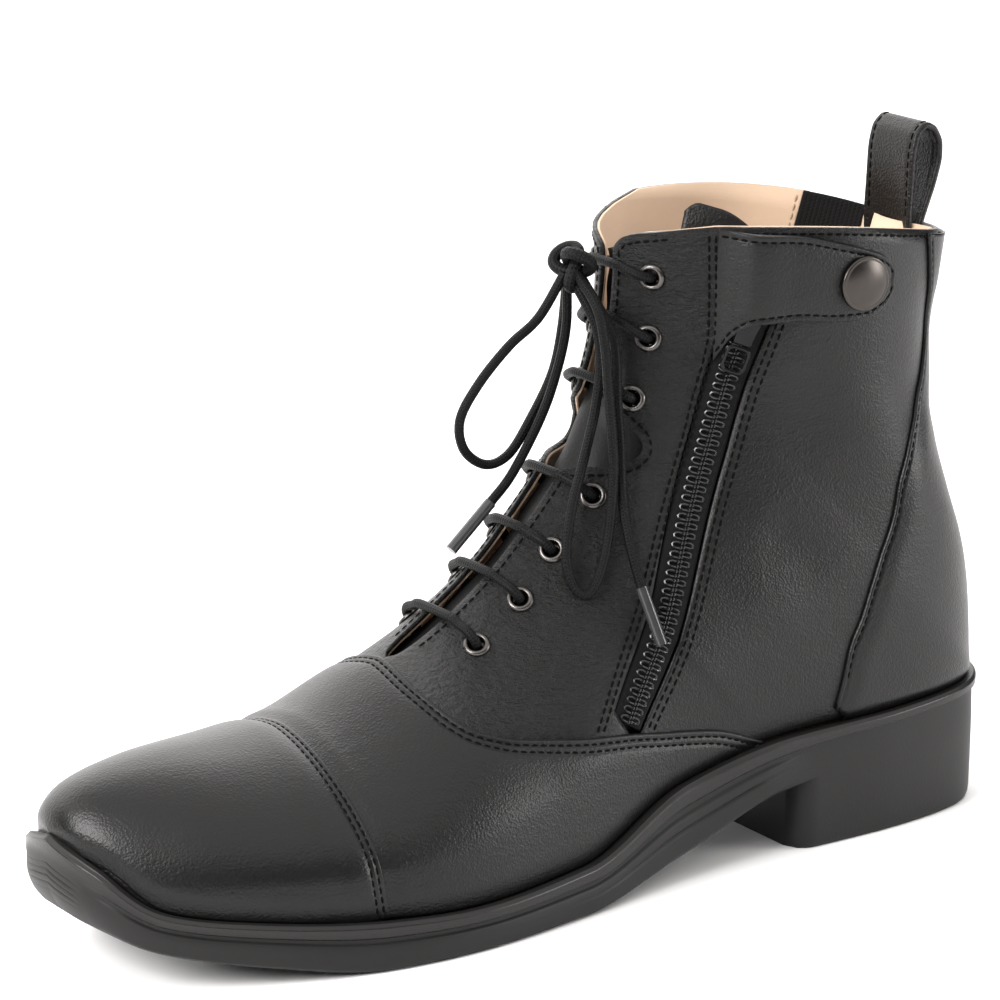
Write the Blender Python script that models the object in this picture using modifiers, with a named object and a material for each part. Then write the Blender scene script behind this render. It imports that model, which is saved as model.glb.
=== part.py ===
"""Left jodhpur boot: a lasted upper on a moulded sole, with laces, side zip and strap."""
import math

import bmesh
import bpy
import numpy as np
from mathutils import Matrix, Vector

MM = 0.001
NEAR, FAR = 1, -1


def table(columns, rows):
    """The numeric columns of a table, as arrays by name."""
    kept = [(k, name) for k, name in enumerate(columns) if name != "name"]
    return {name: np.array([row[k] for row in rows], float) for k, name in kept}


# Driving sizes, in millimetres. X runs from the heel's back to the toe, Y to the wearer's left, Z up.
CENTRE = (145.9, -0.34)
GAP = 0.3
WALL = 2.0
FLANGE_INSET = 3.0
FLANGE_DROP = 0.1
FEATHER_INSET = 4.9
FOOT_GAP = 0.8
LINE_GAP = 1.4
CAP_LIFT = 0.7
CAP_THICK = 1.4
VAMP_LIFT = 0.8
COUNTER_LIFT = 1.1
OVERLAY_THICK = 1.0
HEEL_CENTRE_Y = -0.7

# Plan of the sole's edge and its heights: one row for each station from heel to toe.
SOLE = table(("name", "x", "near", "far", "top", "under", "floor"), [
    ("heel_back", 0.0, -0.7, -0.7, 36.8, 26.5, 36.0),
    ("heel_turn", 4.5, 15.0, -16.4, 36.8, 26.5, 36.0),
    ("heel_side", 17.0, 26.2, -27.6, 36.2, 26.0, 35.4),
    ("seat", 44.0, 31.6, -32.6, 35.2, 24.5, 34.4),
    ("breast", 81.0, 32.6, -32.0, 34.2, 19.5, 33.4),
    ("waist", 117.5, 34.2, -29.6, 28.0, 7.8, 27.2),
    ("arch", 154.0, 41.4, -36.0, 14.0, 0.2, 13.2),
    ("joint", 189.0, 46.9, -44.6, 12.2, 0.0, 11.4),
    ("ball", 218.0, 45.8, -46.9, 13.6, 0.0, 12.8),
    ("cap", 249.0, 38.5, -42.4, 17.0, 4.8, 14.8),
    ("toe_side", 275.0, 26.5, -34.0, 21.6, 10.2, 16.6),
    ("toe_turn", 288.0, 12.5, -24.5, 32.4, 15.2, 18.8),
    ("toe_tip", 292.0, -5.5, -5.5, 38.0, 17.6, 19.6),
])

# Sections of the last, each a loop from the sole's edge over the ridge of the foot.
# station: place on the sole's plan; rise: height of the section's foot on the back seam;
# ridge_x, ridge_y, ridge_z: top of the loop; swell: half width beyond the sole's edge;
# wide: least half width;
# waist: share of the height that is widest; roof, side: roundness above and below it;
# crown: how far the middle of the loop stands above its straight line.
LAST = table((
    "name", "station", "rise", "ridge_x", "ridge_y", "ridge_z", "swell", "wide", "waist", "roof", "side",
    "crown",
), [
    ("toe_tip", 12.0, 36.8, 287.6, -5.5, 19.9, 0.0, 0.0, 0.30, 2.0, 1.3, 0.0),
    ("toe_face", 11.75, 36.8, 288.8, -6.2, 33.0, 0.9, 0.0, 0.30, 2.0, 1.3, 0.0),
    ("toe_brow", 11.4, 36.8, 287.2, -6.6, 41.8, 1.3, 0.0, 0.30, 2.0, 1.3, 0.0),
    ("toe_top", 11.0, 36.8, 282.0, -6.8, 46.8, 1.4, 0.0, 0.30, 1.95, 1.3, 0.0),
    ("toe_box", 10.3, 36.8, 269.5, -6.8, 50.2, 1.4, 0.0, 0.30, 1.9, 1.3, 0.0),
    ("cap_mid", 9.6, 36.8, 257.0, -6.8, 51.4, 1.4, 0.0, 0.30, 1.85, 1.3, 0.0),
    ("cap_seam", 8.7, 36.8, 236.0, -6.8, 52.0, 1.6, 0.0, 0.30, 1.8, 1.3, 0.0),
    ("vamp_low", 7.9, 36.8, 216.0, -6.8, 53.8, 1.8, 0.0, 0.31, 1.8, 1.3, 0.0),
    ("vamp_top", 7.1, 36.8, 196.0, -7.0, 62.2, 2.2, 0.0, 0.32, 1.8, 1.35, 0.0),
    ("instep_low", 6.2, 36.8, 176.0, -7.4, 73.2, 3.2, 0.0, 0.34, 1.8, 1.4, 0.0),
    ("instep_mid", 5.2, 36.8, 158.5, -7.6, 85.6, 5.0, 0.0, 0.37, 1.82, 1.45, 0.0),
    ("instep_high", 4.2, 36.8, 145.0, -7.6, 99.0, 5.6, 33.1, 0.40, 1.85, 1.5, 0.0),
    ("ankle_low", 3.0, 36.8, 133.5, -7.4, 113.0, 5.6, 33.5, 0.42, 1.9, 1.6, 0.0),
    ("ankle_high", 1.8, 36.8, 124.6, -7.6, 127.0, 5.0, 33.4, 0.44, 1.95, 1.8, 0.0),
    ("heel_turn", 0.9, 36.8, 119.6, -8.0, 139.0, 0.0, 33.2, 0.44, 2.0, 2.0, 0.0),
    ("heel_back", 0.0, 36.8, 116.6, -8.4, 150.0, 0.0, 32.8, 0.44, 2.0, 2.2, 0.0),
    ("counter", 0.0, 72.0, 115.0, -8.6, 158.5, 0.0, 31.9, 0.45, 2.0, 2.2, 0.4),
    ("shaft_low", 0.0, 105.0, 114.2, -8.8, 166.0, 0.0, 32.1, 0.46, 2.0, 2.15, 1.0),
    ("shaft_high", 0.0, 137.0, 114.2, -9.0, 172.6, 0.0, 33.4, 0.47, 2.0, 2.1, 2.0),
    ("rim", 0.0, 165.2, 115.0, -9.0, 177.0, 0.0, 34.6, 0.48, 2.0, 2.1, 3.3),
])

# The back seam seen from the side.
BACK = table(("height", "x"), [
    (36.8, 4.6), (56.0, 4.4), (72.0, 7.8), (87.0, 12.8), (103.0, 17.6),
    (117.0, 20.0), (137.0, 19.6), (152.0, 17.2), (166.0, 14.8),
])

# Side wall of the outsole from tread to flange: inset from the plan's edge and share of the height.
SOLE_WALL = table(("name", "inset", "share"), [
    ("tread", 2.4, 0.0),
    ("tread_edge", 0.9, 0.09),
    ("wall_low", 0.5, 0.24),
    ("wall_mid", 0.3, 0.40),
    ("wall_high", 0.5, 0.55),
    ("groove_low", 1.3, 0.62),
    ("groove_high", 1.3, 0.68),
    ("rib_low", 0.1, 0.75),
    ("rib_high", 0.0, 0.90),
    ("rib_top", 0.8, 1.0),
])
EDGE_POINTS = 48
BUMPER = table(("station", "share"), [(10.3, 0.0), (11.2, 1.0)])
BUMPER_INSET = 0.2
BUMPER_RIB = 0.5

# Heel block under the seat: inset from the plan's edge and share of the height, from seat to floor.
HEEL = table(("name", "inset", "share"), [
    ("seat", 1.6, 0.0),
    ("block", 1.2, 0.12),
    ("lift", 1.8, 0.94),
    ("floor", 3.0, 1.0),
])
HEEL_END = 3.92
HEEL_POINTS = 14

INSOLE_INSET = FEATHER_INSET + WALL + 1.4
INSOLE_THICK = 2.0

# The leather starts behind the bumper, a little up from the toe's tip.
TOE_START = 0.35
UPPER_ROWS = [
    TOE_START, 0.8, 1.3, 1.8, 2.3, 2.8, 3.4, 4.0, 5.0, 6.0, 6.8, 7.4, 8.0,
    9.8, 10.4, 11.4, 14.2, 14.6, 15.0, 15.9, 16.6,
]
SIDE_COLUMNS = 10
MERGE = 0.2

# Edges of the cap and the vamp: u round the section, v along the last.
CAP_EDGE = table(("u", "v"), [(0.0, 6.9), (0.1, 6.83), (0.3, 6.78), (0.5, 6.82)])
VAMP_EDGE = table(("u", "v"), [
    (0.0, 11.0), (0.05, 10.78), (0.11, 10.2), (0.155, 9.81), (0.207, 9.34),
    (0.24, 8.89), (0.284, 8.56), (0.348, 8.4), (0.42, 8.34), (0.5, 8.38),
])
CAP_ROWS = [1.5, 1.8, 2.1, 2.5, 3.0, 3.5, 4.0, 5.0, 6.0]
CAP_COLUMNS = 19
SEAM_HALF = 0.04
VAMP_ROWS = 7

# Edge of the counter seen from the near side, from the sole to the rim.
COUNTER_LINE = table(("x", "z"), [
    (64.8, 41.4), (62.3, 51.5), (59.2, 60.0), (55.4, 67.8), (52.5, 74.7), (49.3, 81.8), (43.9, 95.0),
    (39.2, 108.2), (33.4, 120.6), (28.6, 130.0), (26.4, 138.4), (26.6, 147.2), (28.6, 157.0), (31.4, 167.0),
])
COUNTER_FOOT = 11.5
COUNTER_ROWS = [
    11.6, 11.8, 12.05, 12.4, 12.9, 13.3, 13.75, 14.3, 14.7, 15.02, 15.35, 15.75, 16.5, 17.25, 17.6, 18.0,
    18.95,
]
COUNTER_COLUMNS = 7

# Throat between the facings: distance of each facing's edge from the ridge, by section.
THROAT = table(("v", "near", "far"), [
    (8.42, 0.0, 0.0), (8.5, 2.2, 2.2), (8.7, 3.6, 3.6), (9.2, 4.4, 4.4), (10.8, 4.6, 4.6), (11.85, 4.8, 4.8),
    (12.05, 9.0, 9.0), (12.3, 16.5, 16.5), (12.6, 22.0, 22.0), (12.8, 23.0, 23.0), (12.96, 21.5, 21.5),
    (13.1, 14.0, 14.0), (13.22, 5.2, 5.2), (13.6, 3.6, 3.6), (15.5, 3.0, 3.0), (17.2, 2.6, 3.0),
    (17.8, 4.8, 8.0), (18.3, 10.0, 19.0), (18.6, 16.5, 27.0), (18.85, 24.0, 36.0), (19.0, 32.0, 44.0),
])

# Eyelets from collar to toe: section and distance from the ridge.
EYELETS = table(("v", "setback"), [
    (16.92, 15.6), (15.16, 16.7), (13.6, 15.6), (11.8, 16.9), (10.84, 16.0), (10.05, 17.7), (9.27, 18.5),
])
EYELET_RADIUS = 2.9
EYELET_WIRE = 0.95
EYELET_FLAT = 0.7
EYELET_SIDES = (10, 3)

# Zip seen from the near side, from sole to strap; spans are shares of its length.
ZIP = table(("x", "z"), [(135.8, 47.4), (120.6, 71.3), (107.2, 100.2), (94.4, 132.0), (86.0, 158.0)])
ZIP_ROWS = 11
ZIP_COLUMNS = 3
SLOT_HALF = 5.5
SLOT_SPAN = (0.0, 0.96)
CUT_DEPTH = 6.0
TAPE_HALF = 4.9
TAPE_SPAN = (0.008, 0.952)
TAPE_DEPTH = 0.7
TAPE_THICK = 0.8
CHAIN_HALF = 2.7
CHAIN_SPAN = (0.012, 0.948)
CHAIN_THICK = 1.3
SLIDER_SHARE = 0.906
SLIDER_SIZE = (6.4, 9.0, 1.5)
SLIDER_BEVEL = 0.5
PULL_OUTER = (7.2, 8.0)
PULL_BAR = 1.1
PULL_FLAT = 0.9
PULL_CORNER = 1.6

# Flap behind the zip: offsets of its edges from the zip, and its head that stands above the collar.
GUARD = table(("share", "rear", "front"), [(0.12, -9.0, 9.0), (0.8, -9.0, 10.0), (1.0, -9.0, 14.0)])
GUARD_HEAD = (-9.0, 22.8)
GUARD_INSIDE = 8.0
GUARD_ABOVE = 10.4
GUARD_LEAN = 1.0
GUARD_LIFT = 1.6
GUARD_THICK = 1.2
GUARD_ROWS = 9
GUARD_COLUMNS = 5

# Strap over the zip seen from the near side: its edges, and its height off the upper over the slider.
STRAP = table(("x", "low", "high", "lift"), [
    (98.2, 137.2, 176.2, 0.5),
    (95.6, 141.2, 176.0, 2.4),
    (92.4, 146.4, 175.7, 3.8),
    (86.4, 150.0, 175.0, 3.4),
    (77.0, 150.2, 173.6, 1.2),
    (64.0, 149.2, 169.4, 0.5),
    (53.0, 148.9, 164.6, 0.5),
    (46.0, 150.2, 160.6, 0.5),
    (42.4, 153.2, 157.2, 0.5),
])
STRAP_THICK = 1.7
STRAP_ROWS = 17
STRAP_COLUMNS = 5
SNAP_AT = (57.8, 158.8)
SNAP_RADIUS = 7.6
SNAP_HEIGHT = 2.2
SNAP_SIDES = 20
SNAP_DOME = table(("radius", "height"), [(1.0, 0.0), (1.0, 0.4), (0.93, 0.72), (0.6, 0.94), (0.25, 1.0)])

# Elastic gore in the far side: its rear edge's distance from the back seam, and its share of the full width.
GORE = table(("v", "back", "width"), [
    (16.6, 39.8, 0.35), (16.75, 37.8, 0.63), (17.0, 34.4, 0.81), (17.2, 31.4, 0.91), (17.4, 28.8, 1.0),
    (17.95, 21.4, 1.0), (19.0, 17.7, 1.0),
])
GORE_WIDTH = 17.0
GORE_TRIM = 1.2
GORE_LIFT = 0.4
GORE_THICK = 1.2
GORE_START = 16.9
GORE_STOP = 18.96
GORE_ROWS = 8
GORE_COLUMNS = 4
GORE_SEAM = 1.6
SLOT_ABOVE = 8.0

# Pull loop in the plane of the back seam, from its tail inside the collar over the top and back inside.
# bend: how far its edges stand forward of its middle.
LOOP = table(("x", "z", "bend"), [
    (22.0, 152.0, 3.0), (22.6, 160.0, 2.8), (23.4, 168.0, 2.2), (23.8, 177.0, 1.0), (23.8, 186.5, 0.3),
    (22.6, 191.8, 0.0), (19.8, 194.2, 0.0), (16.8, 192.8, 0.0), (14.8, 189.0, 0.0), (14.6, 184.0, 0.3),
    (16.2, 177.0, 1.0), (18.4, 170.0, 1.8), (20.0, 164.5, 2.4),
])
LOOP_WIDTH = 20.6
LOOP_THICK = 2.0
LOOP_COLUMNS = 5

# Tongue behind the throat: half its width by section.
TONGUE = table(("v", "half"), [(7.95, 17.0), (10.0, 22.0), (13.5, 25.0), (15.2, 19.0), (17.2, 14.5)])
TONGUE_LIFT = 1.8
TONGUE_THICK = 1.6
TONGUE_ROWS = 18
TONGUE_COLUMNS = 4

# Lace bars: distance from the eyelet towards the throat, and height over the skin.
LACE_RADIUS = 1.35
BAR = table(("back", "lift"), [(0.0, 0.5), (0.0, 2.1), (2.0, 3.7), (6.0, 3.9), (11.0, 3.6)])

# Bow: the knot, and the hand-laid routes of the loops and ends that leave it.
KNOT = (126.2, -7.5, 165.6)
KNOT_RADII = (6.4, 7.0, 6.4)
KNOT_CLEAR = 1.0
KNOT_SIDES = (12, 8)
FAR_LOOP_LEAVES = (0.75, -0.1, -0.65)
FAR_LOOP_RETURNS = (0.0, -0.75, -0.66)
FAR_LOOP = [
    (136.0, -9.5, 152.0), (145.2, -10.0, 145.4), (154.6, -10.5, 136.2), (160.4, -11.0, 127.0),
    (158.6, -12.0, 118.2), (151.2, -13.0, 112.8), (143.4, -13.6, 114.4), (135.8, -14.4, 122.8),
    (128.2, -15.0, 134.4), (124.6, -15.4, 146.4),
]
NEAR_LOOP_LEAVES = (0.35, 0.35, -0.87)
NEAR_LOOP_RETURNS = (0.25, 0.85, -0.46)
NEAR_LOOP = [
    (125.0, 1.2, 151.0), (124.6, 3.1, 141.1), (127.1, 4.5, 129.0), (132.0, 6.8, 117.7), (139.0, 10.4, 103.8),
    (143.0, 13.6, 91.2), (142.6, 17.0, 83.8), (139.8, 19.4, 82.2), (135.2, 18.6, 87.8), (130.4, 15.6, 98.0),
    (127.0, 12.8, 113.2), (126.6, 11.4, 124.0), (126.4, 9.6, 134.4), (125.8, 7.2, 146.0), (126.4, 4.4, 156.0),
]
FAR_END_LEAVES = (0.35, -0.35, -0.87)
FAR_END = [
    (126.4, -10.6, 148.0), (129.8, -10.6, 135.4), (135.2, -10.6, 123.4), (144.4, -10.6, 109.6),
    (151.8, -10.6, 102.4),
]
FAR_AGLET = (164.2, -10.6, 91.5)
NEAR_END_LEAVES = (-0.35, 0.55, -0.76)
NEAR_END = [
    (120.9, 2.6, 149.0), (121.0, 5.4, 141.2), (122.6, 8.2, 131.0), (122.9, 9.9, 120.2), (125.1, 14.2, 104.7),
    (126.5, 19.8, 93.5), (126.4, 25.2, 82.7),
]
NEAR_AGLET = (124.2, 31.2, 68.3)
AGLET_RADIUS = 1.6
AGLET_GAP = 0.4
AGLET_STEP = 20.0
CORD_STEP = 7.5

# Mesh clean-up, in metres, and the angle past which an edge is sharp.
WELD = 0.00001
SLIVER = 0.000005
SHARP = math.radians(40.0)

TOE = len(SOLE["x"]) - 1
ROUND = 2 * TOE
RIM = len(LAST["rise"]) - 1
PLAN = list(zip(SOLE["x"], SOLE["near"])) + list(zip(SOLE["x"], SOLE["far"]))[-2:0:-1]


def smooth_rows(values, place):
    """Value at a fractional row: a cubic through the rows that never overshoots them."""
    last = len(values) - 1
    i = min(max(int(place), 0), last - 1)
    step = np.diff(values)

    def slope(k):
        if k == 0 or k == last:
            return step[min(k, last - 1)]
        before, after = step[k - 1], step[k]
        return 2.0 * before * after / (before + after) if before * after > 0.0 else 0.0

    s = min(max(place - i, 0.0), 1.0)
    rise = s * s * (3.0 - 2.0 * s)
    lead = s * (1.0 - s) ** 2
    trail = s * s * (s - 1.0)
    return values[i] + step[i] * rise + slope(i) * lead + slope(i + 1) * trail


BACK_FINE = np.linspace(0.0, len(BACK["x"]) - 1, 161)
BACK_HEIGHT = np.array([smooth_rows(BACK["height"], k) for k in BACK_FINE])
BACK_X = np.array([smooth_rows(BACK["x"], k) for k in BACK_FINE])


def plan_edge(q, inset=0.0):
    """Point on the sole's plan, q counted round the edge from heel over the near side to the toe and back."""
    i = int(math.floor(q))
    s = q - i
    p0, p1, p2, p3 = (np.array(PLAN[(i + k) % ROUND]) for k in (-1, 0, 1, 2))
    first, second, third = p2 - p0, 2 * p0 - 5 * p1 + 4 * p2 - p3, 3 * p1 - p0 - 3 * p2 + p3
    point = p1 + 0.5 * s * (first + s * (second + s * third))
    along = first + 2 * s * second + 3 * s * s * third
    along = along / np.linalg.norm(along)
    return point - inset * np.array((-along[1], along[0]))


def sole_at(name, q):
    """Height column of the sole's table at a place round the edge."""
    return smooth_rows(SOLE[name], q if q <= TOE else ROUND - q)


def last_at(v):
    """All columns of the last's table at a fractional section."""
    return {name: smooth_rows(values, v) for name, values in LAST.items()}


SECTIONS = {}
SECTION_STEPS = 20


def half_section(foot, foot_half, ridge, row, sign):
    """One side of a section, from the sole's edge to the ridge, and its running length."""
    widest = max(foot_half + row["swell"], row["wide"])
    points = []
    for k in range(2 * SECTION_STEPS + 1):
        angle = 0.5 * math.pi * (k % SECTION_STEPS) / SECTION_STEPS
        if k == 2 * SECTION_STEPS:
            share, half = 1.0, 0.0
        elif k >= SECTION_STEPS:
            share = row["waist"] + (1.0 - row["waist"]) * math.sin(angle) ** (2.0 / row["roof"])
            half = widest * math.cos(angle) ** (2.0 / row["roof"])
        else:
            share = row["waist"] * (1.0 - math.cos(angle) ** (2.0 / row["side"]))
            half = foot_half + (widest - foot_half) * math.sin(angle) ** (2.0 / row["side"])
        centre = foot + share * (ridge - foot)
        crown = row["crown"] * math.sin(math.pi * share)
        points.append(centre + np.array((0.0, sign * half, crown)))
    points = np.array(points)
    length = np.concatenate(([0.0], np.cumsum(np.linalg.norm(np.diff(points, axis=0), axis=1))))
    return points, length


def section(v):
    """Both halves of the section at v, kept for the next call."""
    key = round(v, 5)
    if key not in SECTIONS:
        row = last_at(v)
        ridge = np.array((row["ridge_x"], row["ridge_y"], row["ridge_z"]))
        if row["rise"] > BACK["height"][0] + GAP * MM:
            foot = np.array((np.interp(row["rise"], BACK_HEIGHT, BACK_X), HEEL_CENTRE_Y, row["rise"]))
            foot_half = 0.0
        else:
            near = plan_edge(row["station"], FEATHER_INSET)
            far = plan_edge(ROUND - row["station"], FEATHER_INSET)
            foot = np.array((*(0.5 * (near + far)), sole_at("floor", row["station"]) + FOOT_GAP))
            foot_half = max(0.5 * (near[1] - far[1]), 0.0)
        SECTIONS[key] = {side: half_section(foot, foot_half, ridge, row, float(side)) for side in (NEAR, FAR)}
    return SECTIONS[key]


def half_length(side, v):
    """Length of one side of the section at v."""
    return section(v)[side][1][-1]


def skin(u, v):
    """Point of the outer face: u from the near edge over the ridge to the far edge, v from toe to rim."""
    v = min(max(v, 0.0), float(RIM))
    points, length = section(v)[NEAR if u <= 0.5 else FAR]
    along = length[-1] * min(max(2.0 * min(u, 1.0 - u), 0.0), 1.0)
    return np.array([np.interp(along, length, points[:, axis]) for axis in range(3)])


def outward(u, v):
    """Unit normal of the upper's outer face."""
    du, dv, tip = 0.004, 0.02, 0.06
    v = min(max(v, tip), RIM - dv)
    u = min(max(u, du), 1.0 - du)
    across = skin(u + du, v) - skin(u - du, v)
    along = skin(u, v + dv) - skin(u, v - dv)
    normal = np.cross(along, across)
    return normal / np.linalg.norm(normal)


def lifted(u, v, lift):
    """Point at a height above the upper's outer face."""
    return skin(u, v) + lift * outward(u, v)


def from_ridge(side, distance, v):
    """u at a distance from the ridge, measured over the skin."""
    return 0.5 - side * min(0.5 * distance / half_length(side, v), 0.5)


def from_foot(side, distance, v):
    """u at a distance from the sole's edge or the back seam, measured over the skin."""
    share = min(0.5 * distance / half_length(side, v), 0.5)
    return share if side == NEAR else 1.0 - share


SEARCH_U = np.linspace(0.0, 0.46, 24)
SEARCH_V = np.arange(1, 2 * RIM + 1) / 2.0
SEARCH_TURNS = 12
SEARCH_PACE = 0.7
SIDE_PLACES = [(u, v) for v in SEARCH_V for u in SEARCH_U]
SIDE_POINTS = np.array([skin(u, v) for u, v in SIDE_PLACES])


def at_side(x, z):
    """u and v of the skin's point that has this x and z when seen from the near side."""
    u, v = SIDE_PLACES[int(np.argmin((SIDE_POINTS[:, 0] - x) ** 2 + (SIDE_POINTS[:, 2] - z) ** 2))]
    du, dv = 0.002, 0.01
    for _ in range(SEARCH_TURNS):
        here = skin(u, v)
        a = (skin(u + du, v) - skin(u - du, v)) / (2 * du)
        b = (skin(u, v + dv) - skin(u, v - dv)) / (2 * dv)
        det = a[0] * b[2] - a[2] * b[0]
        ex, ez = x - here[0], z - here[2]
        u = min(max(u + SEARCH_PACE * (ex * b[2] - ez * b[0]) / det, 0.0), 0.5)
        v = min(max(v + SEARCH_PACE * (a[0] * ez - a[2] * ex) / det, 0.0), RIM - dv)
    return u, v


def place(point):
    """Metres in the part's frame, from millimetres measured at the heel's back."""
    return Vector(((point[0] - CENTRE[0]) * MM, (point[1] - CENTRE[1]) * MM, point[2] * MM))


def sole_line(v):
    """u where the upper rises above the sole's edge."""
    points, length = section(v)[NEAR]
    line = sole_at("top", last_at(v)["station"]) + LINE_GAP
    above = np.nonzero(points[:, 2] > line)[0]
    if above[0] == 0:
        return 0.0
    k = above[0]
    share = (line - points[k - 1, 2]) / (points[k, 2] - points[k - 1, 2])
    return 0.5 * (length[k - 1] + share * (length[k] - length[k - 1])) / length[-1]


def along_edge(edge, u):
    """v of a panel's edge at u; both sides of the boot share the edge."""
    return float(np.interp(min(u, 1.0 - u), edge["u"], edge["v"]))


def gore_back(v):
    """Distance of the gore's rear edge from the back seam."""
    return float(np.interp(v, GORE["v"], GORE["back"]))


COUNTER_EDGE = [(0.0, COUNTER_FOOT)] + [at_side(x, z) for x, z in zip(COUNTER_LINE["x"], COUNTER_LINE["z"])]


def along_counter(side, v):
    """Share round the section of the counter's edge; on the far side it stops short of the gore."""
    edge = float(np.interp(v, [place[1] for place in COUNTER_EDGE], [place[0] for place in COUNTER_EDGE]))
    if side == FAR and v > GORE["v"][0]:
        edge = min(edge, 0.5 * (gore_back(v) - GORE_SEAM) / half_length(FAR, v))
    return edge


def throat_edge(side, v):
    """Distance of a facing's edge from the ridge at section v."""
    return float(np.interp(v, THROAT["v"], THROAT["near" if side == NEAR else "far"]))


def material(name, colour, roughness, metallic=0.0):
    """A Principled material."""
    mat = bpy.data.materials.new(name)
    mat.use_nodes = True
    shader = mat.node_tree.nodes["Principled BSDF"]
    shader.inputs["Base Color"].default_value = (*colour, 1.0)
    shader.inputs["Roughness"].default_value = roughness
    shader.inputs["Metallic"].default_value = metallic
    mat.diffuse_color = (*colour, 1.0)
    return mat


def add_object(name, data, mat, collection):
    """A named object in a collection."""
    obj = bpy.data.objects.new(name, data)
    data.materials.append(mat)
    collection.objects.link(obj)
    return obj


def mesh_from(name, bm):
    """A mesh with its doubles merged and its slivers dissolved."""
    bmesh.ops.remove_doubles(bm, verts=bm.verts, dist=WELD)
    bmesh.ops.dissolve_degenerate(bm, edges=bm.edges, dist=SLIVER)
    mesh = bpy.data.meshes.new(name)
    bm.to_mesh(mesh)
    bm.free()
    mesh.shade_smooth()
    mesh.set_sharp_from_angle(angle=SHARP)
    return mesh


def loft(rings, closed, caps=False):
    """A bmesh through rows of points in millimetres; caps closes the first and last ring."""
    bm = bmesh.new()
    rows = [[bm.verts.new(place(point)) for point in ring] for ring in rings]
    for low, high in zip(rows[:-1], rows[1:]):
        count = len(low)
        for k in range(count if closed else count - 1):
            n = (k + 1) % count
            bm.faces.new((low[k], high[k], high[n], low[n]))
    if caps:
        for row in (rows[0], rows[-1]):
            half = len(row) // 2
            for k in range(half):
                quad = (row[k], row[k + 1], row[-k - 1], row[-k] if k else row[0])
                corners = list(dict.fromkeys(quad))
                if len(corners) > 2:
                    bm.faces.new(corners)
        bmesh.ops.remove_doubles(bm, verts=bm.verts, dist=WELD)
        bmesh.ops.recalc_face_normals(bm, faces=bm.faces)
    return bm


def wall_of(name, bm, thick, mat, collection, inward=False):
    """A wall of even thickness on an open surface that looks outwards."""
    obj = add_object(name, mesh_from(name, bm), mat, collection)
    wall = obj.modifiers.new("wall", "SOLIDIFY")
    wall.thickness = thick * MM
    wall.offset = -1.0 if inward else 1.0
    wall.use_even_offset = True
    wall.use_quality_normals = True
    return obj


def sheet(name, rows, thick, mat, collection, inward=False):
    """A wall through rows of points."""
    return wall_of(name, loft(rows, closed=False), thick, mat, collection, inward)


def panel(rows, lift):
    """Rows of u and v lifted off the upper's face."""
    return [[lifted(u, v, lift) for u, v in row] for row in rows]


def cut(target, cutter, cutters):
    """Takes a wire-only cutter out of a piece."""
    cutter.hide_render = True
    cutter.display_type = "WIRE"
    for home in list(cutter.users_collection):
        home.objects.unlink(cutter)
    cutters.objects.link(cutter)
    boolean = target.modifiers.new("cut_" + cutter.name, "BOOLEAN")
    boolean.operation = "DIFFERENCE"
    boolean.solver = "EXACT"
    boolean.object = cutter


def round_places():
    """Places round the sole's edge."""
    return np.linspace(0.0, ROUND, EDGE_POINTS + 1)[:-1]


def sole_ring(inset, share, rib):
    """Points round the sole's edge at an inset and a share of the side wall's height."""
    ring = []
    for q in round_places():
        toe = float(np.interp(min(q, ROUND - q), BUMPER["station"], BUMPER["share"]))
        x, y = plan_edge(q, inset * (1.0 - toe) + toe * (BUMPER_INSET + rib * BUMPER_RIB))
        low, high = sole_at("under", q), sole_at("top", q)
        ring.append((x, y, low + share * (high - low)))
    return ring


def flat_ring(inset, name, offset):
    """Points round the sole's edge at an inset, at one of the table's heights plus an offset."""
    return [(*plan_edge(q, inset), sole_at(name, q) + offset) for q in round_places()]


def make_outsole(mat, parts):
    """Tread, ribbed side wall, flange and bumper, and the floor that the upper stands on."""
    wall = zip(SOLE_WALL["inset"], SOLE_WALL["share"])
    rings = [sole_ring(inset, share, k % 2) for k, (inset, share) in enumerate(wall)]
    rings.append(flat_ring(FLANGE_INSET, "top", -FLANGE_DROP))
    rings.append(flat_ring(FLANGE_INSET + FLANGE_DROP, "floor", 0.0))
    bm = loft(rings, closed=True, caps=True)
    return add_object("outsole", mesh_from("outsole", bm), mat, parts)


def make_heel(mat, parts):
    """Block under the seat, flat on the floor."""
    stations = np.linspace(0.0, HEEL_END, HEEL_POINTS)
    rings = []
    for inset, share in zip(HEEL["inset"], HEEL["share"]):
        near = [(q, plan_edge(q, inset)) for q in stations]
        far = [(q, plan_edge(ROUND - q, inset)) for q in stations[:0:-1]]
        rings.append([(*xy, (sole_at("under", q) - GAP) * (1.0 - share)) for q, xy in near + far])
    bm = loft(rings, closed=True, caps=True)
    return add_object("heel", mesh_from("heel", bm), mat, parts)


def make_insole(mat, parts):
    """Plate on the outsole's floor."""
    rings = [flat_ring(INSOLE_INSET, "floor", height) for height in (GAP, GAP + INSOLE_THICK)]
    return add_object("insole", mesh_from("insole", loft(rings, closed=True, caps=True)), mat, parts)


def two_sided(near, far):
    """One bmesh from the near and the far rows, joined where they meet."""
    bm = loft(near, closed=False)
    other = loft(far, closed=False)
    spare = bpy.data.meshes.new("far_half")
    other.to_mesh(spare)
    other.free()
    bm.from_mesh(spare)
    bpy.data.meshes.remove(spare)
    bmesh.ops.remove_doubles(bm, verts=bm.verts, dist=MERGE * MM)
    return bm


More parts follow.
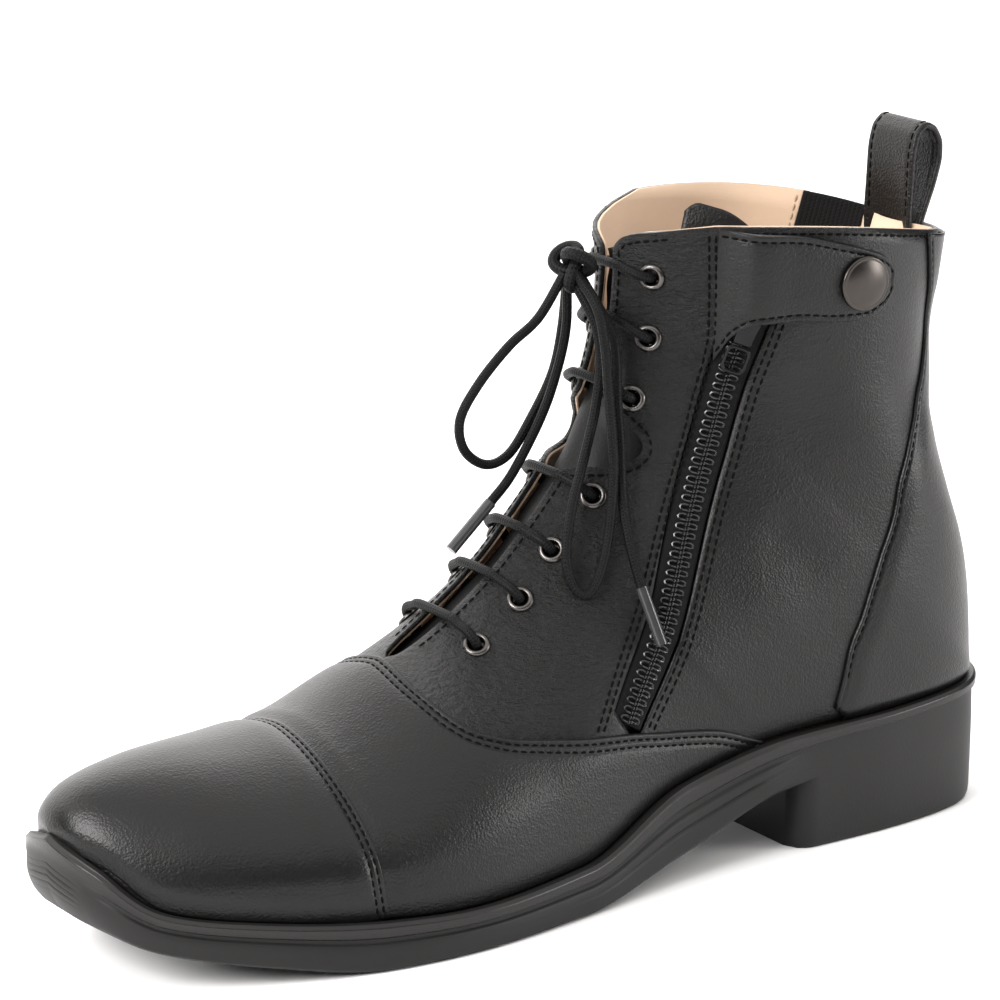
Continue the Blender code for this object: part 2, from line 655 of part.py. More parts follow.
def make_upper(mat, parts):
    """Hollow leather wall: open along the throat, at the collar and underneath."""
    near, far = [], []
    shares = np.linspace(0.0, 1.0, SIDE_COLUMNS + 1)
    for v in sorted(UPPER_ROWS + list(THROAT["v"])):
        near_edge, far_edge = (from_ridge(side, throat_edge(side, v), v) for side in (NEAR, FAR))
        near.append([skin(s * near_edge, v) for s in shares])
        far.append([skin(1.0 - s * (1.0 - far_edge), v) for s in shares[::-1]])
    return wall_of("upper", two_sided(near, far), WALL, mat, parts, inward=True)


def make_toe_cap(mat, parts):
    """Cap over the toe, from the sole's edge to its seam."""
    rows = []
    for v in CAP_ROWS:
        line = sole_line(v)
        rows.append([(u, v) for u in np.linspace(line, 1.0 - line, CAP_COLUMNS)])
    line = sole_line(CAP_ROWS[-1])
    places = np.linspace(line, 1.0 - line, CAP_COLUMNS)
    rows.append([(u, along_edge(CAP_EDGE, u) - SEAM_HALF) for u in places])
    return sheet("toe_cap", panel(rows, CAP_LIFT), CAP_THICK, mat, parts)


def make_vamp(mat, parts):
    """Vamp between the cap's seam and the quarters."""
    side = list(VAMP_EDGE["u"])
    places = side + [1.0 - u for u in side[-2::-1]]
    rows = []
    for s in np.linspace(0.0, 1.0, VAMP_ROWS):
        row = []
        for u in places:
            first, last = along_edge(CAP_EDGE, u) + SEAM_HALF, along_edge(VAMP_EDGE, u)
            v = first + s * (last - first)
            row.append((min(max(u, sole_line(v)), 1.0 - sole_line(v)), v))
        rows.append(row)
    return sheet("vamp", panel(rows, VAMP_LIFT), OVERLAY_THICK, mat, parts)


def make_counter(mat, parts):
    """Counter round the heel with its strip up the back seam."""
    near, far = [], []
    for v in COUNTER_ROWS:
        line = sole_line(v)
        near.append([(u, v) for u in np.linspace(line, along_counter(NEAR, v), COUNTER_COLUMNS)])
        far.append([(1.0 - u, v) for u in np.linspace(along_counter(FAR, v), line, COUNTER_COLUMNS)])
    bm = two_sided(panel(near, COUNTER_LIFT), panel(far, COUNTER_LIFT))
    return wall_of("back_counter", bm, OVERLAY_THICK, mat, parts)


def make_tongue(mat, parts):
    """Tongue behind the throat."""
    rows = []
    for v in np.linspace(TONGUE["v"][0], TONGUE["v"][-1], TONGUE_ROWS):
        half = np.interp(v, TONGUE["v"], TONGUE["half"])
        near = [from_ridge(NEAR, d, v) for d in np.linspace(half, 0.0, TONGUE_COLUMNS)]
        far = [from_ridge(FAR, d, v) for d in np.linspace(0.0, half, TONGUE_COLUMNS)[1:]]
        rows.append([(u, v) for u in near + far])
    return sheet("tongue", panel(rows, -WALL - TONGUE_LIFT), TONGUE_THICK, mat, parts, inward=True)


def zip_place(share, offset=0.0):
    """u and v at a share of the zip's length and an offset across it, seen from the near side."""
    last = len(ZIP["x"]) - 1
    row = share * last
    step = 0.05
    low, high = max(row - step, 0.0), min(row + step, last)
    x, z = smooth_rows(ZIP["x"], row), smooth_rows(ZIP["z"], row)
    dx = smooth_rows(ZIP["x"], high) - smooth_rows(ZIP["x"], low)
    dz = smooth_rows(ZIP["z"], high) - smooth_rows(ZIP["z"], low)
    size = math.hypot(dx, dz)
    return at_side(x + offset * dz / size, z - offset * dx / size)


def zip_end():
    """x and z of the zip's top end and its direction there."""
    top, under = (np.array((ZIP["x"][k], ZIP["z"][k])) for k in (-1, -2))
    return top, (top - under) / np.linalg.norm(top - under)


def zip_strip(half, span):
    """Rows of u and v of a band along the zip."""
    offsets = np.linspace(-half, half, ZIP_COLUMNS)
    return [[zip_place(s, d) for d in offsets] for s in np.linspace(*span, ZIP_ROWS)]


def local_frame(u, v, lift, up):
    """Matrix of a seat on the upper: Z out of the skin, Y along the given direction."""
    z_axis = Vector(outward(u, v)).normalized()
    x_axis = Vector(up).cross(z_axis).normalized()
    y_axis = z_axis.cross(x_axis)
    matrix = Matrix((x_axis, y_axis, z_axis)).transposed().to_4x4()
    matrix.translation = place(lifted(u, v, lift))
    return matrix


def up_zip(share):
    """Direction up the zip on the skin."""
    step = 0.02
    return skin(*zip_place(share + step)) - skin(*zip_place(share - step))


def make_zip(tape_mat, chain_mat, metal, parts, cutters, upper):
    """Slot in the upper, with the tape, the chain, the slider and the swinging pull tab."""
    rows = panel(zip_strip(SLOT_HALF, SLOT_SPAN), -CUT_DEPTH)
    slot = sheet("zip_slot", rows, 2.0 * CUT_DEPTH, tape_mat, parts)
    cut(upper, slot, cutters)
    tape = panel(zip_strip(TAPE_HALF, TAPE_SPAN), -TAPE_DEPTH - TAPE_THICK)
    sheet("zip_tape", tape, TAPE_THICK, tape_mat, parts)
    chain_base = GAP - TAPE_DEPTH
    sheet("zip_chain", panel(zip_strip(CHAIN_HALF, CHAIN_SPAN), chain_base), CHAIN_THICK, chain_mat, parts)

    width, length, height = SLIDER_SIZE
    base = chain_base + CHAIN_THICK + GAP
    frame = local_frame(*zip_place(SLIDER_SHARE), base, up_zip(SLIDER_SHARE))
    bm = bmesh.new()
    bmesh.ops.create_cube(bm, size=MM)
    bmesh.ops.scale(bm, vec=(width, length, height), verts=bm.verts)
    bmesh.ops.translate(bm, vec=(0.0, 0.0, 0.5 * height * MM), verts=bm.verts)
    bmesh.ops.bevel(
        bm, geom=bm.edges[:], offset=SLIDER_BEVEL * MM, segments=1, affect="EDGES", profile=0.5, material=-1)
    slider = add_object("zip_slider", mesh_from("zip_slider", bm), metal, parts)
    slider.matrix_world = frame

    hinge = bpy.data.objects.new("zip_pull_hinge", None)
    parts.objects.link(hinge)
    axis_y = -0.5 * length - GAP - 0.5 * PULL_BAR
    axis_z = 0.5 * PULL_BAR + 2.0 * GAP
    hinge.matrix_world = frame @ Matrix.Translation((0.0, axis_y * MM, axis_z * MM))
    pull = add_object("zip_pull", pull_mesh(), metal, parts)
    pull.parent = hinge


def pull_mesh():
    """Rounded square frame that hangs from its top bar, which lies on the hinge's axis."""
    width, length = (size - PULL_BAR for size in PULL_OUTER)
    corners = ((1, -PULL_CORNER, 0.0), (1, PULL_CORNER - length, -90.0),
               (-1, PULL_CORNER - length, -180.0), (-1, -PULL_CORNER, 90.0))
    half = 0.5 * PULL_BAR
    bm = bmesh.new()
    loops = []
    for side, y, start in corners:
        for turn in (90.0, 45.0, 0.0):
            angle = math.radians(start + turn)
            middle = Vector((side * (0.5 * width - PULL_CORNER) + PULL_CORNER * math.cos(angle),
                             y + PULL_CORNER * math.sin(angle), 0.0))
            out = (middle - Vector((0.0, -0.5 * length, 0.0))).normalized()
            loops.append([
                bm.verts.new((middle + a * half * out + Vector((0.0, 0.0, b * half * PULL_FLAT))) * MM)
                for a, b in ((1, -1), (1, 1), (-1, 1), (-1, -1))])
    for k, low in enumerate(loops):
        high = loops[(k + 1) % len(loops)]
        for j in range(len(low)):
            n = (j + 1) % len(low)
            bm.faces.new((low[j], low[n], high[n], high[j]))
    bmesh.ops.recalc_face_normals(bm, faces=bm.faces)
    return mesh_from("zip_pull", bm)


def make_guard(mat, parts):
    """Flap behind the zip, with a wider head that stands above the collar."""
    lift = -WALL - GUARD_LIFT
    rows = []
    for share in np.linspace(GUARD["share"][0], GUARD["share"][-1], GUARD_ROWS):
        rear, front = (np.interp(share, GUARD["share"], GUARD[name]) for name in ("rear", "front"))
        rows.append([zip_place(share, d) for d in np.linspace(rear, front, GUARD_COLUMNS)])
    top, ahead = zip_end()
    across = np.array((ahead[1], -ahead[0]))
    offsets = np.linspace(*GUARD_HEAD, GUARD_COLUMNS)
    collar = [at_side(*(top + GUARD_INSIDE * ahead + d * across)) for d in offsets]
    rows = panel(rows + [collar], lift)
    rise = np.array((GUARD_ABOVE * ahead[0], -GUARD_LEAN, GUARD_ABOVE * ahead[1]))
    rows.append([point + rise for point in rows[-1]])
    return sheet("zip_guard", rows, GUARD_THICK, mat, parts, inward=True)


def make_strap(mat, metal, parts):
    """Strap from the front seam over the zip to its snap."""
    rows = []
    for k in np.linspace(0.0, len(STRAP["x"]) - 1, STRAP_ROWS):
        x, low, high, lift = (smooth_rows(STRAP[name], k) for name in ("x", "low", "high", "lift"))
        rows.append([lifted(*at_side(x, z), lift) for z in np.linspace(low, high, STRAP_COLUMNS)])
    sheet("strap", rows, STRAP_THICK, mat, parts)

    angles = np.linspace(0.0, 2.0 * math.pi, SNAP_SIDES + 1)[:-1]
    rings = []
    for radius, height in zip(SNAP_DOME["radius"] * SNAP_RADIUS, SNAP_DOME["height"] * SNAP_HEIGHT):
        rings.append([(radius * math.cos(a), radius * math.sin(a), height) for a in angles])
    bm = loft(rings, closed=True, caps=True)
    bmesh.ops.translate(bm, vec=-place((0.0, 0.0, 0.0)), verts=bm.verts)
    snap = add_object("snap_cap", mesh_from("snap_cap", bm), metal, parts)
    base = STRAP["lift"][-1] + STRAP_THICK + GAP
    snap.matrix_world = local_frame(*at_side(*SNAP_AT), base, (0.0, 0.0, 1.0))


def gore_rows(trim, first, last):
    """Rows of u and v of the gore on the far side, from its rear edge to its front edge."""
    rows = []
    for v in np.linspace(first, last, GORE_ROWS):
        back = gore_back(v) + trim
        width = GORE_WIDTH * np.interp(v, GORE["v"], GORE["width"]) - 2.0 * trim
        rows.append([(from_foot(FAR, back + s * width, v), v) for s in np.linspace(1.0, 0.0, GORE_COLUMNS)])
    return rows


def make_gore(mat, parts, cutters, upper):
    """Slot in the far side of the shaft with its elastic panel."""
    rows = panel(gore_rows(0.0, GORE["v"][0], RIM), -CUT_DEPTH)
    rows.append([point + np.array((0.0, 0.0, SLOT_ABOVE)) for point in rows[-1]])
    slot = sheet("gore_slot", rows, 2.0 * CUT_DEPTH, mat, parts)
    cut(upper, slot, cutters)
    rows = panel(gore_rows(GORE_TRIM, GORE_START, GORE_STOP), -WALL + GORE_LIFT)
    sheet("elastic_gore", rows, GORE_THICK, mat, parts)


def make_loop(mat, parts):
    """Leather strip folded over the back of the collar, with both ends inside the wall."""
    rows = []
    for x, z, bend in zip(LOOP["x"], LOOP["z"], LOOP["bend"]):
        rows.append([(x + bend * side ** 2, HEEL_CENTRE_Y + side * 0.5 * LOOP_WIDTH, z)
                     for side in np.linspace(-1.0, 1.0, LOOP_COLUMNS)])
    obj = add_object("pull_loop", mesh_from("pull_loop", loft(rows, closed=False)), mat, parts)
    wall = obj.modifiers.new("wall", "SOLIDIFY")
    wall.thickness = LOOP_THICK * MM
    wall.offset = 0.0
    wall.use_even_offset = True


def make_eyelets(metal, parts):
    """Seven rings on each facing."""
    major, minor = EYELET_SIDES
    bpy.ops.mesh.primitive_torus_add(
        major_segments=major, minor_segments=minor,
        major_radius=EYELET_RADIUS * MM, minor_radius=EYELET_WIRE * MM)
    pattern = bpy.context.object
    mesh = pattern.data
    bpy.data.objects.remove(pattern)
    mesh.transform(Matrix.Diagonal((1.0, 1.0, EYELET_FLAT, 1.0)))
    mesh.materials.append(metal)
    for side, word in ((NEAR, "near"), (FAR, "far")):
        for index, (v, setback) in enumerate(zip(EYELETS["v"], EYELETS["setback"])):
            ring = bpy.data.objects.new(f"eyelet_{word}_{index + 1}", mesh)
            parts.objects.link(ring)
            lift = EYELET_FLAT * EYELET_WIRE + GAP
            ring.matrix_world = local_frame(from_ridge(side, setback, v), v, lift, (0.0, 0.0, 1.0))


def smooth_route(points, step):
    """Points along a smooth curve through the route's own points."""
    points = [np.array(point, float) for point in points]
    ends = [2 * points[0] - points[1]] + points + [2 * points[-1] - points[-2]]
    route = []
    for p0, p1, p2, p3 in zip(ends, ends[1:], ends[2:], ends[3:]):
        first, second, third = p2 - p0, 2 * p0 - 5 * p1 + 4 * p2 - p3, 3 * p1 - p0 - 3 * p2 + p3
        count = max(int(round(np.linalg.norm(p2 - p1) / step)), 1)
        for s in np.arange(count) / count:
            route.append(p1 + 0.5 * s * (first + s * (second + s * third)))
    route.append(points[-1])
    return route


def make_cord(name, points, radius, mat, parts, step=CORD_STEP):
    """A round tube along a route."""
    curve = bpy.data.curves.new(name, "CURVE")
    curve.dimensions = "3D"
    curve.bevel_depth = radius * MM
    curve.bevel_resolution = 2
    curve.use_fill_caps = True
    route = smooth_route(points, step)
    spline = curve.splines.new("POLY")
    spline.points.add(len(route) - 1)
    for point, spot in zip(spline.points, route):
        point.co = (*place(spot), 1.0)
    return add_object(name, curve, mat, parts)


def make_bars(mat, parts):
    """Lace bars from each near eyelet over the throat to the far one."""
    for index, (v, setback) in enumerate(zip(EYELETS["v"], EYELETS["setback"])):
        near, far = (
            [lifted(from_ridge(side, setback - back, v), v, lift)
             for back, lift in zip(BAR["back"], BAR["lift"])]
            for side in (NEAR, FAR))
        make_cord(f"lace_bar_{index + 1}", near + far[::-1], LACE_RADIUS, mat, parts)


def knot_exit(direction):
    """Point just outside the knot where a strand leaves it."""
    unit = np.array(direction) / np.linalg.norm(direction)
    reach = 1.0 / np.linalg.norm(unit / np.array(KNOT_RADII))
    return np.array(KNOT) + (reach + KNOT_CLEAR) * unit


def make_bow(lace, tip, parts):
    """Knot, two loops and two ends with their aglets."""
    bm = bmesh.new()
    around, rings = KNOT_SIDES
    bmesh.ops.create_uvsphere(bm, u_segments=around, v_segments=rings, radius=1.0)
    bmesh.ops.scale(bm, vec=[radius * MM for radius in KNOT_RADII], verts=bm.verts)
    bmesh.ops.translate(bm, vec=place(KNOT), verts=bm.verts)
    add_object("bow_knot", mesh_from("bow_knot", bm), lace, parts)
    loops = (("bow_loop_far", FAR_LOOP_LEAVES, FAR_LOOP, FAR_LOOP_RETURNS),
             ("bow_loop_near", NEAR_LOOP_LEAVES, NEAR_LOOP, NEAR_LOOP_RETURNS))
    for name, leaves, route, returns in loops:
        make_cord(name, [knot_exit(leaves)] + route + [knot_exit(returns)], LACE_RADIUS, lace, parts)
    ends = (("far", FAR_END_LEAVES, FAR_END, FAR_AGLET), ("near", NEAR_END_LEAVES, NEAR_END, NEAR_AGLET))
    for word, leaves, route, tip_end in ends:
        make_cord(f"bow_end_{word}", [knot_exit(leaves)] + route, LACE_RADIUS, lace, parts)
        last = np.array(route[-1])
        reach = np.array(tip_end) - last
        start = last + AGLET_GAP * reach / np.linalg.norm(reach)
        make_cord(f"aglet_{word}", [start, np.array(tip_end)], AGLET_RADIUS, tip, parts, step=AGLET_STEP)


def main():
    """Clears the scene and builds the boot."""
    for obj in list(bpy.data.objects):
        bpy.data.objects.remove(obj)
    parts = bpy.data.collections.new("jodhpur_boot")
    cutters = bpy.data.collections.new("cutters")
    for collection in (parts, cutters):
        bpy.context.scene.collection.children.link(collection)

    leather = material("black_leather", (0.018, 0.017, 0.017), 0.42)
    lining = material("tan_lining", (0.58, 0.43, 0.30), 0.8)
    rubber = material("black_rubber", (0.022, 0.021, 0.021), 0.6)
    tape = material("zip_tape", (0.012, 0.012, 0.012), 0.85)
    teeth = material("zip_teeth", (0.02, 0.02, 0.021), 0.4)
    gunmetal = material("gunmetal", (0.20, 0.19, 0.185), 0.32, 1.0)
    nickel = material("brushed_nickel", (0.46, 0.42, 0.40), 0.34, 1.0)
    dark_metal = material("black_metal", (0.03, 0.03, 0.03), 0.3, 0.8)
    elastic = material("elastic", (0.014, 0.014, 0.014), 0.9)
    cord = material("waxed_cord", (0.014, 0.014, 0.014), 0.6)
    clear_tip = material("clear_tip", (0.30, 0.30, 0.31), 0.25)

    make_outsole(rubber, parts)
    make_heel(rubber, parts)
    make_insole(lining, parts)
    upper = make_upper(leather, parts)
    make_tongue(leather, parts)
    make_toe_cap(leather, parts)
    make_vamp(leather, parts)
    make_counter(leather, parts)
    make_zip(tape, teeth, dark_metal, parts, cutters, upper)
    make_guard(leather, parts)
    make_strap(leather, nickel, parts)
    make_gore(elastic, parts, cutters, upper)
    make_loop(leather, parts)
    make_eyelets(gunmetal, parts)
    make_bars(cord, parts)
    make_bow(cord, clear_tip, parts)
    bpy.context.view_layer.update()


main()
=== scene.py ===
"""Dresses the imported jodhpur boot: leather panels with stitching, zip, laces, lining and moulded sole."""
import math

import bmesh
import bpy
import numpy as np
from bpy.props import FloatProperty, FloatVectorProperty, PointerProperty
from mathutils import Matrix, Vector


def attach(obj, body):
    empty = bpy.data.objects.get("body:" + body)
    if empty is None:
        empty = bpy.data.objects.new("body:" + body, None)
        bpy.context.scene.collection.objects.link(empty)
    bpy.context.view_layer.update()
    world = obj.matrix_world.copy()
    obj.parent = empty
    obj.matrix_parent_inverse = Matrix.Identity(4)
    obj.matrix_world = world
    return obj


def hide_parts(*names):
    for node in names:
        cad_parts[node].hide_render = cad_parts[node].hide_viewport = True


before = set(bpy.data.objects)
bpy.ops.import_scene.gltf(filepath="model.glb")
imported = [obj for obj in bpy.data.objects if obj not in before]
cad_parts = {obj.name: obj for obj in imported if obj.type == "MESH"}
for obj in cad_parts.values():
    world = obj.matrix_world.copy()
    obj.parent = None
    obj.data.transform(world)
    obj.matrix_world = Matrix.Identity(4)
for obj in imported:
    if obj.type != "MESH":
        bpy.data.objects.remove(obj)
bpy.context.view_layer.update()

bl_info = {
    "name": "Jodhpur boot",
    "version": (1, 0, 0),
    "blender": (4, 5, 0),
    "location": "View3D > Sidebar > Boot",
    "description": "Leather panels, stitching, zip, laces, lining and moulded sole for a lasted boot",
    "category": "Object",
}

# A millimetre in metres, and a metre in millimetres.
MM = 0.001
METRE = 1000.0

BODY = "boot"
TAB = "pull_tab"
NEAR, FAR = 1, -1


def table(columns, rows):
    """The numeric columns of a table, as arrays by name."""
    kept = [(k, name) for k, name in enumerate(columns) if name != "name"]
    return {name: np.array([row[k] for row in rows], float) for k, name in kept}


# The last and the sole, in millimetres: X from the heel's back to the toe, Y to the wearer's left, Z up.
CENTRE = (145.9, -0.34)
ORIGIN = np.array((*CENTRE, 0.0))
FLANGE_INSET = 3.0
FEATHER_INSET = 4.9
FOOT_GAP = 0.8
WALL = 2.0
HEEL_MIDDLE = -0.7
GAP = 0.3

SOLE = table(("name", "x", "near", "far", "top", "under", "floor"), [
    ("heel_back", 0.0, -0.7, -0.7, 36.8, 26.5, 36.0),
    ("heel_turn", 4.5, 15.0, -16.4, 36.8, 26.5, 36.0),
    ("heel_side", 17.0, 26.2, -27.6, 36.2, 26.0, 35.4),
    ("seat", 44.0, 31.6, -32.6, 35.2, 24.5, 34.4),
    ("breast", 81.0, 32.6, -32.0, 34.2, 19.5, 33.4),
    ("waist", 117.5, 34.2, -29.6, 28.0, 7.8, 27.2),
    ("arch", 154.0, 41.4, -36.0, 14.0, 0.2, 13.2),
    ("joint", 189.0, 46.9, -44.6, 12.2, 0.0, 11.4),
    ("ball", 218.0, 45.8, -46.9, 13.6, 0.0, 12.8),
    ("cap", 249.0, 38.5, -42.4, 17.0, 4.8, 14.8),
    ("toe_side", 275.0, 26.5, -34.0, 21.6, 10.2, 16.6),
    ("toe_turn", 288.0, 12.5, -24.5, 32.4, 15.2, 18.8),
    ("toe_tip", 292.0, -5.5, -5.5, 38.0, 17.6, 19.6),
])
TOE = len(SOLE["x"]) - 1
ROUND = 2 * TOE

LAST = table((
    "name", "station", "rise", "ridge_x", "ridge_y", "ridge_z", "swell", "wide", "waist", "roof", "side",
    "crown",
), [
    ("toe_tip", 12.0, 36.8, 287.6, -5.5, 19.9, 0.0, 0.0, 0.30, 2.0, 1.3, 0.0),
    ("toe_face", 11.75, 36.8, 288.8, -6.2, 33.0, 0.9, 0.0, 0.30, 2.0, 1.3, 0.0),
    ("toe_brow", 11.4, 36.8, 287.2, -6.6, 41.8, 1.3, 0.0, 0.30, 2.0, 1.3, 0.0),
    ("toe_top", 11.0, 36.8, 282.0, -6.8, 46.8, 1.4, 0.0, 0.30, 1.95, 1.3, 0.0),
    ("toe_box", 10.3, 36.8, 269.5, -6.8, 50.2, 1.4, 0.0, 0.30, 1.9, 1.3, 0.0),
    ("cap_mid", 9.6, 36.8, 257.0, -6.8, 51.4, 1.4, 0.0, 0.30, 1.85, 1.3, 0.0),
    ("cap_seam", 8.7, 36.8, 236.0, -6.8, 52.0, 1.6, 0.0, 0.30, 1.8, 1.3, 0.0),
    ("vamp_low", 7.9, 36.8, 216.0, -6.8, 53.8, 1.8, 0.0, 0.31, 1.8, 1.3, 0.0),
    ("vamp_top", 7.1, 36.8, 196.0, -7.0, 62.2, 2.2, 0.0, 0.32, 1.8, 1.35, 0.0),
    ("instep_low", 6.2, 36.8, 176.0, -7.4, 73.2, 3.2, 0.0, 0.34, 1.8, 1.4, 0.0),
    ("instep_mid", 5.2, 36.8, 158.5, -7.6, 85.6, 5.0, 0.0, 0.37, 1.82, 1.45, 0.0),
    ("instep_high", 4.2, 36.8, 145.0, -7.6, 99.0, 5.6, 33.1, 0.40, 1.85, 1.5, 0.0),
    ("ankle_low", 3.0, 36.8, 133.5, -7.4, 113.0, 5.6, 33.5, 0.42, 1.9, 1.6, 0.0),
    ("ankle_high", 1.8, 36.8, 124.6, -7.6, 127.0, 5.0, 33.4, 0.44, 1.95, 1.8, 0.0),
    ("heel_turn", 0.9, 36.8, 119.6, -8.0, 139.0, 0.0, 33.2, 0.44, 2.0, 2.0, 0.0),
    ("heel_back", 0.0, 36.8, 116.6, -8.4, 150.0, 0.0, 32.8, 0.44, 2.0, 2.2, 0.0),
    ("counter", 0.0, 72.0, 115.0, -8.6, 158.5, 0.0, 31.9, 0.45, 2.0, 2.2, 0.4),
    ("shaft_low", 0.0, 105.0, 114.2, -8.8, 166.0, 0.0, 32.1, 0.46, 2.0, 2.15, 1.0),
    ("shaft_high", 0.0, 137.0, 114.2, -9.0, 172.6, 0.0, 33.4, 0.47, 2.0, 2.1, 2.0),
    ("rim", 0.0, 165.2, 115.0, -9.0, 177.0, 0.0, 34.6, 0.48, 2.0, 2.1, 3.3),
])
RIM = len(LAST["rise"]) - 1
SEAM_START = int(np.sum(LAST["rise"] == LAST["rise"][0])) - 1
BACK = table(("height", "x"), [
    (36.8, 4.6), (56.0, 4.4), (72.0, 7.8), (87.0, 12.8), (103.0, 17.6),
    (117.0, 20.0), (137.0, 19.6), (152.0, 17.2), (166.0, 14.8),
])

# Edges of the panels on the skin, u round a section and v along the last.
CAP_EDGE = table(("u", "v"), [(0.0, 6.9), (0.1, 6.83), (0.3, 6.78), (0.5, 6.82)])
VAMP_EDGE = table(("u", "v"), [
    (0.0, 11.0), (0.05, 10.78), (0.11, 10.2), (0.155, 9.81), (0.207, 9.34),
    (0.24, 8.89), (0.284, 8.56), (0.348, 8.4), (0.42, 8.34), (0.5, 8.38),
])
COUNTER_LINE = table(("x", "z"), [
    (64.8, 41.4), (62.3, 51.5), (59.2, 60.0), (55.4, 67.8), (52.5, 74.7), (49.3, 81.8), (43.9, 95.0),
    (39.2, 108.2), (33.4, 120.6), (28.6, 130.0), (26.4, 138.4), (26.6, 147.2), (28.6, 157.0), (31.4, 167.0),
])
COUNTER_FOOT = 11.5
THROAT = table(("v", "near", "far"), [
    (8.42, 0.0, 0.0), (8.5, 2.2, 2.2), (8.7, 3.6, 3.6), (9.2, 4.4, 4.4), (10.8, 4.6, 4.6), (11.85, 4.8, 4.8),
    (12.05, 9.0, 9.0), (12.3, 16.5, 16.5), (12.6, 22.0, 22.0), (12.8, 23.0, 23.0), (12.96, 21.5, 21.5),
    (13.1, 14.0, 14.0), (13.22, 5.2, 5.2), (13.6, 3.6, 3.6), (15.5, 3.0, 3.0), (17.2, 2.6, 3.0),
    (17.8, 4.8, 8.0), (18.3, 10.0, 19.0), (18.6, 16.5, 27.0), (18.85, 24.0, 36.0), (19.0, 32.0, 44.0),
])
EYELETS = table(("v", "setback"), [
    (16.92, 15.6), (15.16, 16.7), (13.6, 15.6), (11.8, 16.9), (10.84, 16.0), (10.05, 17.7), (9.27, 18.5),
])

# Zip, strap and front seam, seen from the near side.
ZIP = table(("x", "z"), [(135.8, 47.4), (120.6, 71.3), (107.2, 100.2), (94.4, 132.0), (86.0, 158.0)])
ZIP_SPAN = (0.0, 0.96)
SLOT_HALF = 5.5
SLOT_TRIM = 2.0
TAPE_HALF = 4.9
TAPE_DEPTH = 0.7
SLIDER_SHARE = 0.906
SLIDER_SIZE = (6.4, 9.0, 1.5)
PULL_OUTER = (7.2, 8.0)
PULL_BAR = 1.1
CHAIN_TOP = 0.9
FRONT_SEAM = table(("x", "z"), [
    (98.0, 174.6), (97.0, 148.1), (103.7, 124.0), (116.2, 96.1), (130.7, 69.4), (145.1, 47.2),
])
STRAP = table(("x", "low", "high", "lift"), [
    (96.6, 139.4, 176.2, 0.5), (95.0, 142.0, 176.0, 1.2), (92.4, 146.4, 175.7, 2.1),
    (86.4, 150.0, 175.0, 2.4), (77.0, 150.0, 173.8, 1.0), (66.0, 148.6, 170.8, 0.5),
    (57.0, 148.2, 168.0, 0.5), (50.0, 150.8, 165.0, 0.5), (46.4, 156.0, 160.6, 0.5),
])
STRAP_THICK = 1.7
STRAP_EDGE = 1.35
STRAP_RAMP = 9.0
STRAP_ROOT = 0.06
STRAP_STITCH = 1.9
SNAP_AT = (57.8, 158.8)
LOOP = table(("x", "z", "bend"), [
    (22.0, 152.0, 3.0), (22.6, 160.0, 2.8), (23.4, 168.0, 2.2), (23.8, 177.0, 1.0), (23.8, 186.5, 0.3),
    (22.6, 191.8, 0.0), (19.8, 194.2, 0.0), (16.8, 192.8, 0.0), (14.8, 189.0, 0.0), (14.6, 184.0, 0.3),
    (16.2, 177.0, 1.0), (18.4, 170.0, 1.8), (20.0, 164.5, 2.4),
])
LOOP_WIDTH = 20.6
LOOP_STITCH = 1.9
GUARD = table(("share", "rear", "front"), [(0.12, -9.0, 9.0), (0.8, -9.0, 10.0), (1.0, -9.0, 14.0)])
GUARD_HEAD = (-9.0, 22.8)
GUARD_INSIDE = 8.0
GUARD_ABOVE = 10.4
GUARD_LEAN = 1.0
GUARD_LIFT = 1.6
GORE = table(("v", "back", "width"), [
    (16.6, 39.8, 0.35), (16.75, 37.8, 0.63), (17.0, 34.4, 0.81), (17.2, 31.4, 0.91), (17.4, 28.8, 1.0),
    (17.95, 21.4, 1.0), (19.0, 17.7, 1.0),
])
GORE_WIDTH = 17.0
GORE_SEAM = 1.6
TONGUE = table(("v", "half"), [(7.95, 17.0), (10.0, 22.0), (13.5, 25.0), (15.2, 19.0), (17.2, 14.5)])
TONGUE_LIFT = 1.8

# Side wall of the sole, from tread to flange, and of the heel block, from seat to floor.
SOLE_WALL = table(("name", "inset", "share"), [
    ("tread", 2.4, 0.0), ("tread_edge", 0.9, 0.09), ("wall_low", 0.5, 0.24), ("wall_mid", 0.3, 0.40),
    ("wall_high", 0.5, 0.55), ("groove_low", 1.3, 0.62), ("groove_high", 1.3, 0.68), ("rib_low", 0.1, 0.75),
    ("rib_high", 0.0, 0.90), ("rib_top", 0.8, 1.0),
])
BUMPER = table(("station", "share"), [(10.3, 0.0), (11.2, 1.0)])
HEEL_END = 3.92
HEEL_INSET = 1.2
HEEL_LAP = 0.5

